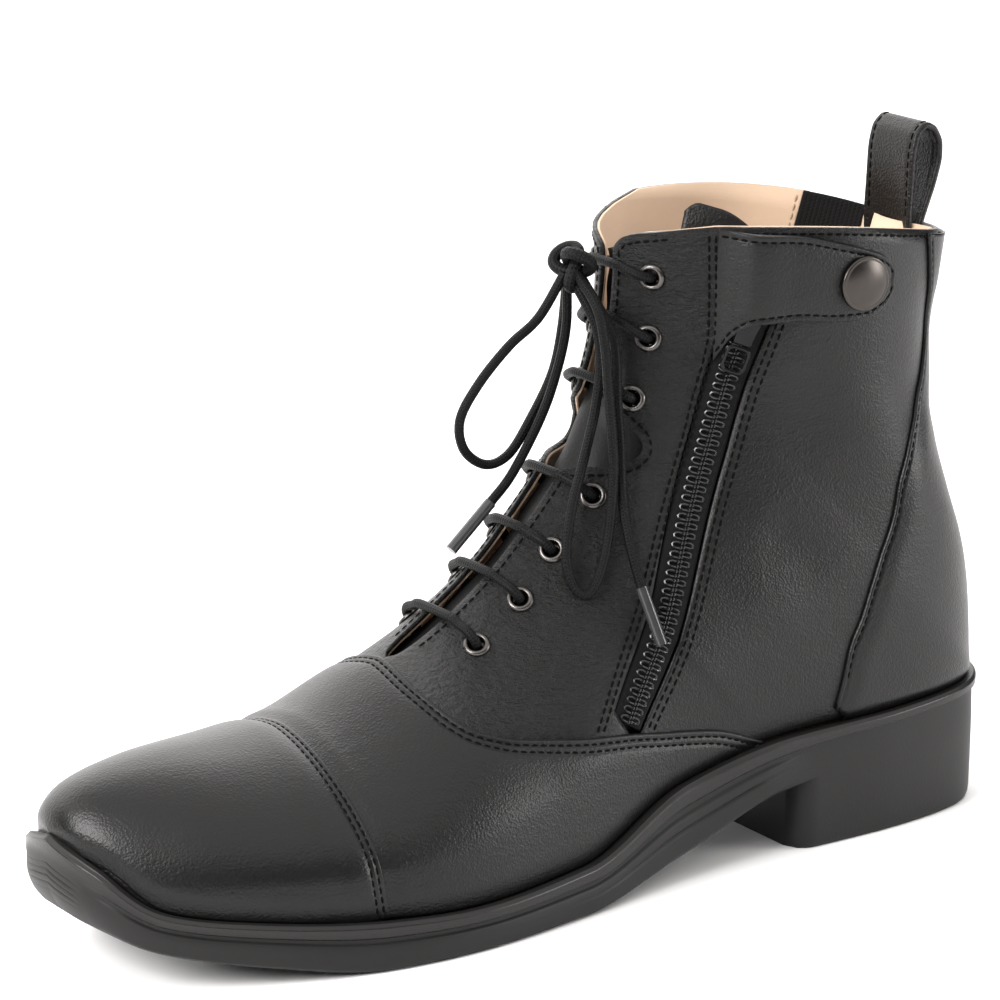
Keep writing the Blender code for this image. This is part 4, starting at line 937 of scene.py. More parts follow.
def rubber_finish(name, colour):
    """Moulded rubber: matt with a fine moulding texture; where it is rubbed it is polished, and painted paler
    as a highlight.
    """
    mat, tree, shader = base_finish(name, 0.52, specular=0.26)
    spot = object_spot(tree)
    broad = noise(tree, spot, scale=60.0, detail=4.0)
    fine = noise(tree, spot, scale=1300.0)
    wear = painted(tree, "wear")
    # The band on the bead: painted paler as a highlight, and polished with lower roughness below.
    tone = blend_colours(tree, wear, toned(tree, broad, colour, 0.8, 1.3), times(colour, 1.9))
    tree.links.new(tone, shader.inputs["Base Color"])
    rough = sum_of(tree, "SUBTRACT", spread(tree, broad, 0.42, 0.58), sum_of(tree, "MULTIPLY", wear, 0.26))
    tree.links.new(rough, shader.inputs["Roughness"])
    relief(tree, shader, fine, 0.00004)
    return mat


def braid_finish(name, colour, strands, per_mm, depth, gloss):
    """Braided cord: two sets of strands that cross round it, with painted shade in the hollows between
    strands.
    """
    mat, tree, shader = base_finish(name, gloss, specular=0.16)
    round_it, along_it = own_map(tree)
    turn, run = turns(tree, round_it, strands), turns(tree, along_it, per_mm)
    height = crossed(tree, sum_of(tree, "ADD", turn, run), sum_of(tree, "SUBTRACT", turn, run))
    # Painted shade: colour darker in the hollows between strands and paler on their crowns.
    tree.links.new(toned(tree, height, colour, 0.45, 1.25), shader.inputs["Base Color"])
    relief(tree, shader, height, depth)
    return mat


def cloth_finish(name, colour, across, along, depth):
    """Woven tape or elastic: threads across and along its UV map, with painted shade between the threads."""
    mat, tree, shader = base_finish(name, 0.85, sheen=0.03, specular=0.2)
    width, length = own_map(tree)
    height = crossed(tree, turns(tree, width, across), turns(tree, length, along))
    # Painted shade: colour darker between the threads and paler on them.
    tree.links.new(toned(tree, height, colour, 0.6, 1.4), shader.inputs["Base Color"])
    relief(tree, shader, height, depth)
    return mat


def metal_finish(name, colour, rough, stretch=(1.0, 1.0, 1.0)):
    """Plated metal with fine drawn scratches."""
    mat, tree, shader = base_finish(name, rough, metallic=1.0)
    spot = object_spot(tree)
    drawn = add_node(tree, "ShaderNodeMapping", {"Vector": spot, "Scale": stretch}).outputs[0]
    lines = noise(tree, drawn, scale=900.0, detail=3.0, roughness=0.6)
    cloud = noise(tree, spot, scale=220.0, detail=3.0)
    tree.links.new(toned(tree, cloud, colour, 0.8, 1.12), shader.inputs["Base Color"])
    tree.links.new(spread(tree, lines, rough - 0.08, rough + 0.1), shader.inputs["Roughness"])
    relief(tree, shader, lines, 0.00001)
    return mat


def mottled_finish(name, colour, rough, scale, low, high, depth, specular=0.5):
    """One material with a fine mottle: twisted thread or moulded nylon."""
    mat, tree, shader = base_finish(name, rough, specular=specular)
    mottle = noise(tree, object_spot(tree), scale=scale)
    tree.links.new(toned(tree, mottle, colour, low, high), shader.inputs["Base Color"])
    relief(tree, shader, mottle, depth)
    return mat


def thread_finish(name, colour):
    """Bonded sewing thread with its twist."""
    return mottled_finish(name, colour, 0.7, 2600.0, 0.6, 1.7, 0.00004, specular=0.06)


def nylon_finish(name, colour, rough):
    """Moulded nylon with a faint mottle."""
    return mottled_finish(name, colour, rough, 700.0, 0.8, 1.3, 0.00002)


LACE_TIP_COLOUR = (0.03, 0.03, 0.031)
ZIP_METAL_COLOUR = (0.022, 0.022, 0.023)


def mix_finishes(colours):
    """All finishes of the boot, made once."""
    tone = {name: tuple(getattr(colours, name)) for name in BootColours.__annotations__}
    leather = tone["leather"]
    FINISHES.update({
        "leather": leather_finish("upper_leather", leather),
        "cap": leather_finish("cap_leather", leather, gloss=0.37, grain=0.7),
        "strap": leather_finish("strap_leather", leather, gloss=0.42, grain=1.2),
        # The tongue's leather is painted much darker, as shade behind the throat.
        "tongue": leather_finish("tongue_leather", times(leather, 0.35), gloss=0.7),
        "lining": lining_finish("calf_lining", tone["lining"]),
        "rubber": rubber_finish("sole_rubber", tone["rubber"]),
        "thread": thread_finish("black_thread", tone["thread"]),
        "tan_thread": thread_finish("tan_thread", times(tone["lining"], 0.55)),
        "lace": braid_finish("lace_braid", times(tone["lace"], 0.6), 5.0, 0.55, depth=0.0005, gloss=0.55),
        "tape": cloth_finish("zip_tape_weave", tone["fabric"], 14.0, 150.0, depth=0.00012),
        "elastic": cloth_finish("gore_elastic", tone["fabric"], 40.0, 60.0, depth=0.0002),
        "teeth": nylon_finish("zip_coil", tone["teeth"], 0.26),
        "tip": nylon_finish("lace_tip", LACE_TIP_COLOUR, 0.14),
        "gunmetal": metal_finish("eyelet_gunmetal", tone["gunmetal"], 0.28),
        "nickel": metal_finish("snap_nickel", tone["nickel"], 0.30, (1.0, 1.0, 6.0)),
        "black_metal": metal_finish("zip_black_metal", ZIP_METAL_COLOUR, 0.3),
    })


# Panels

# Distances of a panel's rows from its turned edge, close together where the edge rolls and the stitches sink.
EDGE_ROWS = np.array([
    9.5, 7.5, 6.0, 5.0, 4.3, 3.8, 3.4, 3.0, 2.6, 2.2, 1.9, 1.6, 1.3, 1.0, 0.7, 0.45, 0.25, 0.1, 0.0,
])
PANEL_EDGE = 1.15
EDGE_ROUND = 0.6
EDGE_RUN = 8.0
TROUGH_DEPTH = 0.34
TROUGH_HALF = 0.45
TUCK_RUN = 7.0

# A crease's fades at its two ends, as shares of its length, and the ridge beside it.
CREASE_START = 0.35
CREASE_END = 0.5
RIDGE_SHARE = 0.45
RIDGE_AT = 1.7


def rolled(distance, full, rows, edge=PANEL_EDGE):
    """Height of a panel at a distance from its turned edge, with a trough under each stitch row."""
    near_edge = np.clip(distance / EDGE_ROUND, 0.0, 1.0)
    height = edge * np.sqrt(1.0 - (1.0 - near_edge) ** 2) + (full - edge) * soft_step(distance / EDGE_RUN)
    for at in rows:
        height = height - TROUGH_DEPTH * np.exp(-((distance - at) / TROUGH_HALF) ** 2)
    return height


def tucked(u, v, height):
    """Height of a panel drawn in where it goes behind the sole's edge."""
    above = 2.0 * (up_side(u) - sole_line(v)) * half_length(NEAR, v)
    return height * (0.5 + 0.5 * soft_step(above / TUCK_RUN))


def creased(points):
    """Lift from the listed creases: a trough, with a slight ridge beside it."""
    lift = np.zeros(points.shape[:-1])
    for x0, z0, x1, z1, half, depth in zip(*CREASES.values()):
        run = np.array((x1 - x0, z1 - z0))
        size = np.linalg.norm(run)
        away = points[..., (0, 2)] - np.array((x0, z0))
        share = (away @ run) / size ** 2
        across = (away @ np.array((-run[1], run[0]))) / size
        ends = soft_step(share / CREASE_START) * soft_step((1.0 - share) / CREASE_END)
        ridge = RIDGE_SHARE * np.exp(-((across - RIDGE_AT * half) / half) ** 2)
        lift = lift - depth * ends * (np.exp(-(across / half) ** 2) - ridge)
    return lift


# Columns beside the slots, as shares of a half's width, and how far the lining stays clear of the slots.
SLOT_COLUMNS = {NEAR: (0.0, 0.46, 0.54, 1.0), FAR: (0.0, 0.2, 0.34, 1.0)}
SLOT_OVERRUN = 0.16
GORE_LAP = 0.7

# Grid of one half of the upper: rows hidden by the vamp, rows that show, and columns.
LEATHER_GRID = (22, 170, 101)
LINING_GRID = (22, 130, 81)
TOE_START = 0.35
HIDDEN_TO = 8.2
LEATHER_HOLE = 2.3
LINING_HOLE = 2.6
LINING_TRIM = 0.7
LINING_GAP = 0.1

# Padding of the lining at the back of the collar: its depth and half width, and its start and run in v.
BACK_PUFF = 8.6
PUFF_HALF = 15.0
PUFF_START = 17.2
PUFF_RUN = 1.3

# The band where the instep flexes, seen from the side: a point on it, the way across and its half width.
FLEX_POINT = (140.0, 96.0)
FLEX_ACROSS = (0.83, 0.56)
FLEX_HALF = 24.0

EYELET_U = {side: from_ridge(side, EYELETS["setback"], EYELETS["v"]) for side in (NEAR, FAR)}
EYELET_SPOTS = {
    side: [placed(point) for point in skin(EYELET_U[side], EYELETS["v"])] for side in (NEAR, FAR)
}


def gore_marks(v, trim):
    """u of the gore's rear and front edge on the far side."""
    back = gore_back(v) + trim
    width = GORE_WIDTH * np.interp(v, GORE["v"], GORE["width"]) - 2.0 * trim
    return from_foot(FAR, back, v), from_foot(FAR, back + width, v)


def upper_columns(side, v, columns, trim, slot_trim):
    """u of each column of one side: the zip slot or the gore slot lies between two of them."""
    edge = from_ridge(side, throat_edge(side, v) + trim, v)
    if side == NEAR:
        share = np.linspace(*ZIP_SPAN, 81)
        marks = []
        for offset in (-SLOT_HALF - slot_trim, SLOT_HALF + slot_trim):
            zip_u, zip_v = zip_place(share, offset)
            order = np.argsort(zip_v)
            marks.append(np.interp(v, zip_v[order], zip_u[order]))
        ends = (np.zeros_like(v), *marks, edge)
    else:
        ends = (np.ones_like(v), *gore_marks(v, -GORE_LAP * slot_trim), edge)
    share = np.linspace(0.0, 1.0, columns)
    return np.stack([np.interp(share, SLOT_COLUMNS[side], row) for row in zip(*ends)])


def upper_half(side, grid, lift, hole, trim=0.0, slot_trim=0.0):
    """One side of the upper as a sheet, with its slot and eyelet holes cut out."""
    hidden, shown, columns = grid
    v = np.concatenate((
        even_sections(TOE_START, HIDDEN_TO, hidden)[:-1], even_sections(HIDDEN_TO, RIM, shown)))
    u = upper_columns(side, v, columns, trim, slot_trim)
    vv = columns_of(v, columns)
    lifts = creased(skin(u, vv)) + lift
    if trim > 0.0:
        from_seam = 2.0 * up_side(u) * half_length(side, vv)
        padded = np.exp(-(from_seam / PUFF_HALF) ** 4) * soft_step((vv - PUFF_START) / PUFF_RUN)
        lifts = lifts - BACK_PUFF * padded
    bm = woven(lifted(u, vv, lifts), flip=side == NEAR)
    stops = SLOT_COLUMNS[side][1:3]
    ends = zip_place(np.array(ZIP_SPAN))[1] if side == NEAR else (GORE["v"][0], RIM + 1.0)
    if slot_trim > 0.0:
        ends = (ends[0] - 2.0 * SLOT_OVERRUN, ends[1] + SLOT_OVERRUN)
    layer = bm.loops.layers.uv.active
    cut = []
    for face in bm.faces:
        across, along = (
            sum(loop[layer].uv[axis] for loop in face.loops) / len(face.loops) for axis in (0, 1))
        place = np.interp(along * (len(v) - 1), np.arange(len(v)), v)
        in_slot = stops[0] < across < stops[1] and ends[0] < place < ends[1]
        middle = face.calc_center_median()
        if in_slot or any((middle - spot).length < hole * MM for spot in EYELET_SPOTS[side]):
            cut.append(face)
    bmesh.ops.delete(bm, geom=cut, context="FACES")
    return bm


def make_upper(sizes):
    """Leather wall of the upper and the calf lining behind it."""
    halves = [upper_half(side, LEATHER_GRID, 0.0, LEATHER_HOLE) for side in (NEAR, FAR)]
    obj = add_piece("leather_upper", sewn(halves, UPPER_SEAM), "leather", ("upper",))
    x, z = seen_from_side(obj)
    across = (x - FLEX_POINT[0]) * FLEX_ACROSS[0] + (z - FLEX_POINT[1]) * FLEX_ACROSS[1]
    paint(obj, "flex", np.exp(-(across / FLEX_HALF) ** 4))
    thicken(obj, sizes.leather)
    inside = -METRE * sizes.leather - LINING_GAP
    halves = [
        upper_half(side, LINING_GRID, inside, LINING_HOLE, LINING_TRIM, SLOT_TRIM) for side in (NEAR, FAR)
    ]
    obj = add_piece("calf_lining", sewn(halves, UPPER_SEAM), "lining")
    thicken(obj, sizes.lining)


# Heights and stitch rows of the overlays, in millimetres, their grids, and their walls in metres.
CAP_HEIGHT = 2.1
VAMP_HEIGHT = 1.8
COUNTER_HEIGHT = 2.1
CAP_STITCHES = (1.5, 3.3)
VAMP_STITCHES = (1.7, 3.6)
COUNTER_STITCHES = (1.5,)
CAP_COLUMNS = 150
CAP_ROWS = 70
CAP_START = 1.25
CAP_END = 6.2
VAMP_COLUMNS = 190
VAMP_ROWS = 60
VAMP_LAP = 0.12
VAMP_UNDER_CAP = 0.45
COUNTER_START = 11.62
COUNTER_TRIM = 0.03
PANEL_WALL = 0.0005

# Painted highlight along a turned edge: how pale it gets, where it is palest and its half width.
CAP_EDGE_HIGHLIGHT = 0.35
VAMP_EDGE_HIGHLIGHT = 0.3
EDGE_HIGHLIGHT_AT = 0.5
EDGE_HIGHLIGHT_HALF = 0.35


def edge_line(edge, columns):
    """u and v along a panel's edge, from the sole's near edge over the ridge to the far one."""
    low = 0.0
    for _ in range(20):
        low = float(sole_line(panel_edge(edge, low)))
    u = np.linspace(low, 1.0 - low, columns)
    return u, panel_edge(edge, u)


def rows_beside(edge):
    """u, v and distance of the rows beside a panel's edge, the farthest first."""
    u, v = zip(*(beside(*edge, distance) for distance in EDGE_ROWS))
    return np.array(u), np.array(v), columns_of(EDGE_ROWS, len(edge[0]))


def clear_of_sole(u, v):
    """u kept between the two lines where a panel tucks behind the sole."""
    line = sole_line(v)
    return np.clip(u, line, 1.0 - line)


def add_panel(name, node, finish, grid, height, edge_highlight):
    """A leather overlay on the last, with a painted highlight along its turned edge."""
    u, v, distance = grid
    u = clear_of_sole(u, v)
    bm = woven(lifted(u, v, tucked(u, v, height)), flip=True)
    layer = bm.loops.layers.uv.active
    corners = [vert.link_loops[0][layer].uv for vert in bm.verts]
    rows, columns = u.shape
    # Painted highlight, palest just inside the turned edge where it rolls.
    wear = edge_highlight * np.exp(-((distance - EDGE_HIGHLIGHT_AT) / EDGE_HIGHLIGHT_HALF) ** 2)
    values = [wear[round(uv.y * (rows - 1)), round(uv.x * (columns - 1))] for uv in corners]
    obj = add_piece(name, bm, finish, (node,))
    paint(obj, "wear", values)
    thicken(obj, PANEL_WALL)


def make_cap():
    """Toe cap from the sole's edge to its seam, with two stitch rows."""
    edge = edge_line(CAP_EDGE, CAP_COLUMNS)
    rows = even_sections(CAP_START, CAP_END, CAP_ROWS)
    line = sole_line(rows)
    share = np.linspace(0.0, 1.0, CAP_COLUMNS)
    u = line[:, None] + share * (1.0 - 2.0 * line)[:, None]
    v = columns_of(rows, CAP_COLUMNS)
    distance = np.linalg.norm(skin(u, v) - skin(*edge), axis=-1)
    grid = [np.vstack(parts) for parts in zip((u, v, distance), rows_beside(edge))]
    height = rolled(grid[2], CAP_HEIGHT, CAP_STITCHES)
    add_panel("leather_toe_cap", "toe_cap", "cap", grid, height, CAP_EDGE_HIGHLIGHT)


def make_vamp():
    """Vamp from under the cap to its curved edge over the quarters, with two stitch rows."""
    edge = edge_line(VAMP_EDGE, VAMP_COLUMNS)
    first_v = panel_edge(CAP_EDGE, edge[0]) - VAMP_LAP
    low = sole_line(first_v)
    share = (edge[0] - edge[0][0]) / (edge[0][-1] - edge[0][0])
    first_u = low + share * (1.0 - 2.0 * low)
    close = rows_beside(edge)
    last_u, last_v, last_d = (values[0] for values in close)
    reach = np.linalg.norm(skin(last_u, last_v) - skin(first_u, first_v), axis=-1) + last_d
    step = np.linspace(0.0, 1.0, VAMP_ROWS)[:-1, None]
    inner = (first_u + step * (last_u - first_u), first_v + step * (last_v - first_v),
             reach + step * (last_d - reach))
    grid = [np.vstack(parts) for parts in zip(inner, close)]
    from_cap = np.linalg.norm(skin(clear_of_sole(*grid[:2]), grid[1]) - skin(first_u, first_v), axis=-1)
    shown = VAMP_UNDER_CAP + (1.0 - VAMP_UNDER_CAP) * soft_step((from_cap - 1.5) / 6.0)
    height = rolled(grid[2], VAMP_HEIGHT, VAMP_STITCHES) * shown
    add_panel("leather_vamp", "vamp", "leather", grid, height, VAMP_EDGE_HIGHLIGHT)


def make_counter():
    """Counter round the heel and its strip up the back seam."""
    v = np.concatenate((
        np.linspace(COUNTER_START, SEAM_START, 60), np.linspace(SEAM_START, RIM - COUNTER_TRIM, 90)[1:]))
    low = np.where(v < SEAM_START - 0.001, sole_line(v), 0.0)
    inner = np.linspace(0.0, 1.0, 26)[:-1]
    shapes = []
    for side in (NEAR, FAR):
        edge = counter_edge(side, v)
        width = 2.0 * (edge - low) * half_length(side, v)
        reach = np.minimum(EDGE_ROWS / np.maximum(width, 1e-6)[:, None], 0.98)
        share = np.hstack((inner * (1.0 - reach[:, :1]), 1.0 - reach))
        share[:, -1] = 1.0
        u = low[:, None] + share * (edge - low)[:, None]
        vv = columns_of(v, u.shape[1])
        height = rolled((1.0 - share) * width[:, None], COUNTER_HEIGHT, COUNTER_STITCHES)
        height = np.where(vv < SEAM_START, tucked(u, vv, height), height)
        shapes.append(woven(lifted(on_side(side, u), vv, height), flip=side == NEAR))
    bm = sewn(shapes, COUNTER_SEAM)
    thicken(add_piece("leather_counter", bm, "cap", ("back_counter",)), PANEL_WALL)


# Shares across the strap where its rows are closer, beside its edges, and its wall in metres.
STRAP_SHARES = (0.008, 0.02, 0.03, 0.06, 0.08, 0.1, 0.9, 0.92, 0.94, 0.97, 0.98, 0.992)
STRAP_WALL = 0.0010
STRAP_TIP_SLOPE = 1.2

# The snap's rim, as distance from its outer edge and height, and its dome, as share of its radius and height.
SNAP_RIM = ((-0.3, 0.0), (0.0, 0.25), (0.0, 0.75), (-0.25, 1.05), (-0.6, 1.12), (-0.85, 1.05), (-1.2, 1.2))
SNAP_DOME = ((0.62, 1.75), (0.35, 2.05), (0.15, 2.17), (0.0, 2.2))
SNAP_SINK = 0.2


def strap_rows():
    """x, heights of both edges and lift along the strap, from its root to its rounded tip."""
    turn = len(STRAP["x"]) - 2.0
    tip = np.sin(np.linspace(0.0, 0.5 * math.pi, 16)[1:])
    k = np.concatenate((np.linspace(0.0, turn, 71), turn + tip))
    return [eased(values, k) for values in STRAP.values()]


def strap_rise(x):
    """Share of the strap's full height: it comes out flush from the front seam."""
    return STRAP_ROOT + (1.0 - STRAP_ROOT) * soft_step((STRAP["x"][0] - x) / STRAP_RAMP)


def strap_face(distance):
    """Height of the strap at a distance from its turned edge."""
    return rolled(distance, STRAP_THICK, (STRAP_STITCH,), STRAP_EDGE)


def make_strap():
    """Strap from the front seam over the zip, with its turned edge."""
    x, low, high, lift = strap_rows()
    share = np.unique(np.round(np.concatenate((np.linspace(0.0, 1.0, 25), STRAP_SHARES)), 4))
    z = low[:, None] + share * (high - low)[:, None]
    xx = columns_of(x, len(share))
    u, v = from_side(xx, z)
    tip = np.maximum(xx - x[-1], 0.0) * STRAP_TIP_SLOPE
    distance = np.minimum(np.minimum(z - low[:, None], high[:, None] - z), tip)
    height = strap_rise(x)[:, None] * (lift[:, None] + strap_face(distance))
    bm = woven(lifted(u, v, height), flip=True)
    thicken(add_piece("leather_strap", bm, "strap", ("strap",)), STRAP_WALL)


def make_snap(sizes):
    """Domed cap of the snap on the strap."""
    radius = 0.5 * METRE * sizes.snap
    profile = [(radius + inset, height) for inset, height in SNAP_RIM]
    profile += [(share * radius, height) for share, height in SNAP_DOME]
    lift = STRAP["lift"][-1] + STRAP_THICK + GAP - SNAP_SINK
    bm = turned(profile, 48, seat_frame(*from_side(*SNAP_AT), lift, (0.0, 0.0, 1.0)))
    add_piece("snap_dome", bm, "nickel", ("snap_cap",), sharp=60.0)


# Soft pieces behind the openings: walls in metres, the tongue's slight waves and the gore's ribs.
TONGUE_WALL = 0.0016
TONGUE_WAVE = 0.35
FLAP_WALL = 0.0012
GORE_WALL = 0.0009
GORE_RISE = 0.4
GORE_RIBS = 15.0
RIB_HEIGHT = 0.13


def make_tongue():
    """Tongue behind the throat."""
    v = np.linspace(TONGUE["v"][0], TONGUE["v"][-1], 120)
    across = np.linspace(-1.0, 1.0, 41) * np.interp(v, TONGUE["v"], TONGUE["half"])[:, None]
    vv = columns_of(v, across.shape[1])
    near_u, far_u = (from_ridge(side, np.maximum(side * across, 0.0), vv) for side in (NEAR, FAR))
    u = np.where(across > 0.0, near_u, far_u)
    wave = TONGUE_WAVE * np.sin(vv * 4.1 + 0.12 * across)
    bm = woven(lifted(u, vv, -WALL - TONGUE_LIFT + wave))
    # Its finish is painted darker than the other leather, as shade in the throat.
    thicken(add_piece("leather_tongue", bm, "tongue", ("tongue",)), TONGUE_WALL)


def make_zip_flap():
    """Flap behind the zip, whose slanted head stands above the collar."""
    share = np.linspace(0.0, GUARD["share"][-1], 60)
    step = np.linspace(0.0, 1.0, 33)
    rear, front = (np.interp(share, GUARD["share"], GUARD[name])[:, None] for name in ("rear", "front"))
    places = zip_place(columns_of(share, len(step)), rear + step * (front - rear))
    top, under = (np.array((ZIP["x"][k], ZIP["z"][k])) for k in (-1, -2))
    ahead = unit(top - under)
    offsets = GUARD_HEAD[0] + step * (GUARD_HEAD[1] - GUARD_HEAD[0])
    sideways = (ahead[1], -ahead[0])
    head = from_side(*(top[k] + GUARD_INSIDE * ahead[k] + offsets * sideways[k] for k in (0, 1)))
    body, collar = (lifted(*spots, np.full(spots[0].shape, -WALL - GUARD_LIFT)) for spots in (places, head))
    rise = np.array((GUARD_ABOVE * ahead[0], -GUARD_LEAN, GUARD_ABOVE * ahead[1]))
    slant = 0.35 + 0.65 * soft_step((step - 0.15) / 0.6) - 0.3 * np.maximum((step - 0.9) / 0.1, 0.0) ** 2
    rows = [1.5 * body[0] - 0.5 * body[6], *body]
    rows += [body[-1] + s * (collar - body[-1]) for s in np.linspace(0.0, 1.0, 8)[1:]]
    rows += [collar + (s * slant)[:, None] * rise for s in np.linspace(0.0, 1.0, 12)[1:]]
    bm = woven(np.array(rows), flip=True)
    thicken(add_piece("zip_flap", bm, "strap", ("zip_guard",)), FLAP_WALL)


def make_gore():
    """Ribbed elastic panel in the far side of the shaft."""
    v = np.linspace(GORE["v"][0] + 0.1, RIM, 60)
    rear, front = gore_marks(v, -GORE_SEAM)
    share = np.linspace(0.0, 1.0, 91)
    u = rear[:, None] + share * (front - rear)[:, None]
    ribs = RIB_HEIGHT * np.cos(2.0 * math.pi * GORE_RIBS * share)
    lift = np.broadcast_to(-WALL + GORE_RISE + ribs, u.shape)
    bm = woven(lifted(u, columns_of(v, len(share)), lift))
    thicken(add_piece("elastic_panel", bm, "elastic", ("elastic_gore",)), GORE_WALL)


# Half thickness of the pull loop, its stitch trough and the passes that smooth its line.
LOOP_HALF = 1.0
LOOP_TROUGH = 0.22
LOOP_PASSES = 6


def loop_line():
    """x, z and bend along the pull loop's middle, and the direction towards the loop's inside."""
    rows = np.arange(len(LOOP["x"]))
    k = np.linspace(0.0, rows[-1], 111)
    line = np.column_stack([np.interp(k, rows, values) for values in LOOP.values()])
    for _ in range(LOOP_PASSES):
        line[1:-1] = 0.25 * line[:-2] + 0.5 * line[1:-1] + 0.25 * line[2:]
    along = unit(np.gradient(line[:, :2], axis=0))
    return line, np.column_stack((-along[:, 1], along[:, 0]))


def make_loop():
    """Pull loop folded over the back of the collar, with rounded edges."""
    line, inward = loop_line()
    half = 0.5 * LOOP_WIDTH
    turn = np.linspace(-0.5 * math.pi, 0.5 * math.pi, 7)
    flat = np.linspace(-1.0, 1.0, 23)[1:-1] * (half - LOOP_HALF)
    corner = half - LOOP_HALF + np.cos(turn)
    across = np.concatenate((flat, corner, -flat, -corner, flat[:1]))
    face = np.ones(len(flat))
    thick = np.concatenate((-face, np.sin(turn), face, -np.sin(turn), -face[:1]))
    trough = LOOP_TROUGH * np.exp(-((half - np.abs(across) - LOOP_STITCH) / TROUGH_HALF) ** 2)
    thick = thick - trough * np.sign(thick)
    points = np.stack((
        line[:, :1] + line[:, 2:] * (across / half) ** 2 + inward[:, :1] * thick,
        np.repeat(HEEL_MIDDLE + across[None, :], len(line), axis=0),
        line[:, 1:2] + inward[:, 1:] * thick), axis=-1)
    add_piece("leather_pull_loop", closed_up(woven(points)), "strap", ("pull_loop",))


# Zip

# A turn of the zip's coil, open to the chain's middle: distance from the middle, place along it and height.
COIL_TURN = (
    (0.5, -0.62, 0.3), (1.2, -0.72, 0.62), (2.1, -0.72, 0.6), (2.75, -0.5, 0.3), (3.0, 0.0, 0.1),
    (2.75, 0.5, 0.3), (2.1, 0.72, 0.6), (1.2, 0.72, 0.62), (0.5, 0.62, 0.3),
)
COIL_WIRE = 0.33
SEWING = ((0.42, -0.42, 0.35), (0.42, -0.2, 0.72), (0.42, 0.2, 0.72), (0.42, 0.42, 0.35))
SEWING_WIRE = 0.3
COIL_SINK = 0.2
COIL_STAGGER = 0.1
TAPE_ENDS = (0.008, 0.952)
TAPE_ROWS = 160
TAPE_COLUMNS = 13
TAPE_WALL = 0.0008
SLIDER_TAPER = 0.78
SLIDER_ROUND = 0.55
PULL_CORNER = 1.6
PULL_FLAT = 0.9
PULL_SQUARE = 0.7


def zip_seat(share, lift):
    """Matrix of a seat on the zip: Z out of the skin, Y up the zip."""
    u, v = (float(value) for value in zip_place(share))
    ahead = skin(*zip_place(share + 0.02)) - skin(*zip_place(share - 0.02))
    return seat_frame(u, v, lift, ahead)


def make_tape():
    """Woven tape behind the zip's coil."""
    share = columns_of(np.linspace(*TAPE_ENDS, TAPE_ROWS), TAPE_COLUMNS)
    offsets = np.broadcast_to(np.linspace(-TAPE_HALF, TAPE_HALF, TAPE_COLUMNS), share.shape)
    u, v = zip_place(share, offsets)
    bm = woven(lifted(u, v, np.full(u.shape, -TAPE_DEPTH)), flip=True)
    thicken(add_piece("zip_tape_cloth", bm, "tape", ("zip_tape",)), TAPE_WALL)


def make_coil(sizes):
    """Two facing rows of coil, each with its line of sewing."""
    share = np.linspace(*TAPE_ENDS, TAPE_ROWS)
    run = run_along(skin(*zip_place(share)))
    count = int(run[-1] / (METRE * sizes.tooth_pitch))
    shapes = []
    for side in (-1, 1):
        for shape, wire, number in ((COIL_TURN, COIL_WIRE, count), (SEWING, SEWING_WIRE, 2 * count)):
            path = np.array(shape) * (side, 1.0, 1.0) + ORIGIN
            places = (np.arange(number) + 0.5 + COIL_STAGGER * side) / number * run[-1]
            for place in np.interp(places, run, share):
                bm = tube(path, wire, around=5)
                bmesh.ops.transform(bm, matrix=zip_seat(place, -COIL_SINK), verts=bm.verts)
                shapes.append(bm)
    add_piece("zip_coil", joined(*shapes), "teeth", ("zip_chain",), sharp=70.0)


def make_slider():
    """Tapered slider and the pull tab that swings from its lower edge."""
    length, height = SLIDER_SIZE[1:]
    seat = zip_seat(SLIDER_SHARE, CHAIN_TOP)
    bm = bmesh.new()
    bmesh.ops.create_cube(bm, size=MM)
    bmesh.ops.scale(bm, vec=SLIDER_SIZE, verts=bm.verts)
    bmesh.ops.translate(bm, vec=(0.0, 0.0, 0.5 * height * MM), verts=bm.verts)
    lower = [vert for vert in bm.verts if vert.co.y < 0.0]
    bmesh.ops.scale(bm, vec=(SLIDER_TAPER, 1.0, 1.0), verts=lower)
    bmesh.ops.bevel(
        bm, geom=bm.edges[:], offset=SLIDER_ROUND * MM, segments=4, affect="EDGES", profile=0.5, material=-1)
    bmesh.ops.transform(bm, matrix=seat, verts=bm.verts)
    add_piece("zip_slider_body", bm, "black_metal", ("zip_slider",))
    hinge = seat @ Matrix.Translation((
        0.0, (-0.5 * length - GAP - 0.5 * PULL_BAR) * MM, (0.5 * PULL_BAR + 2.0 * GAP) * MM))
    add_piece("zip_pull_frame", pull_frame(hinge), "black_metal", ("zip_pull",), body=TAB,
              sharp=70.0)


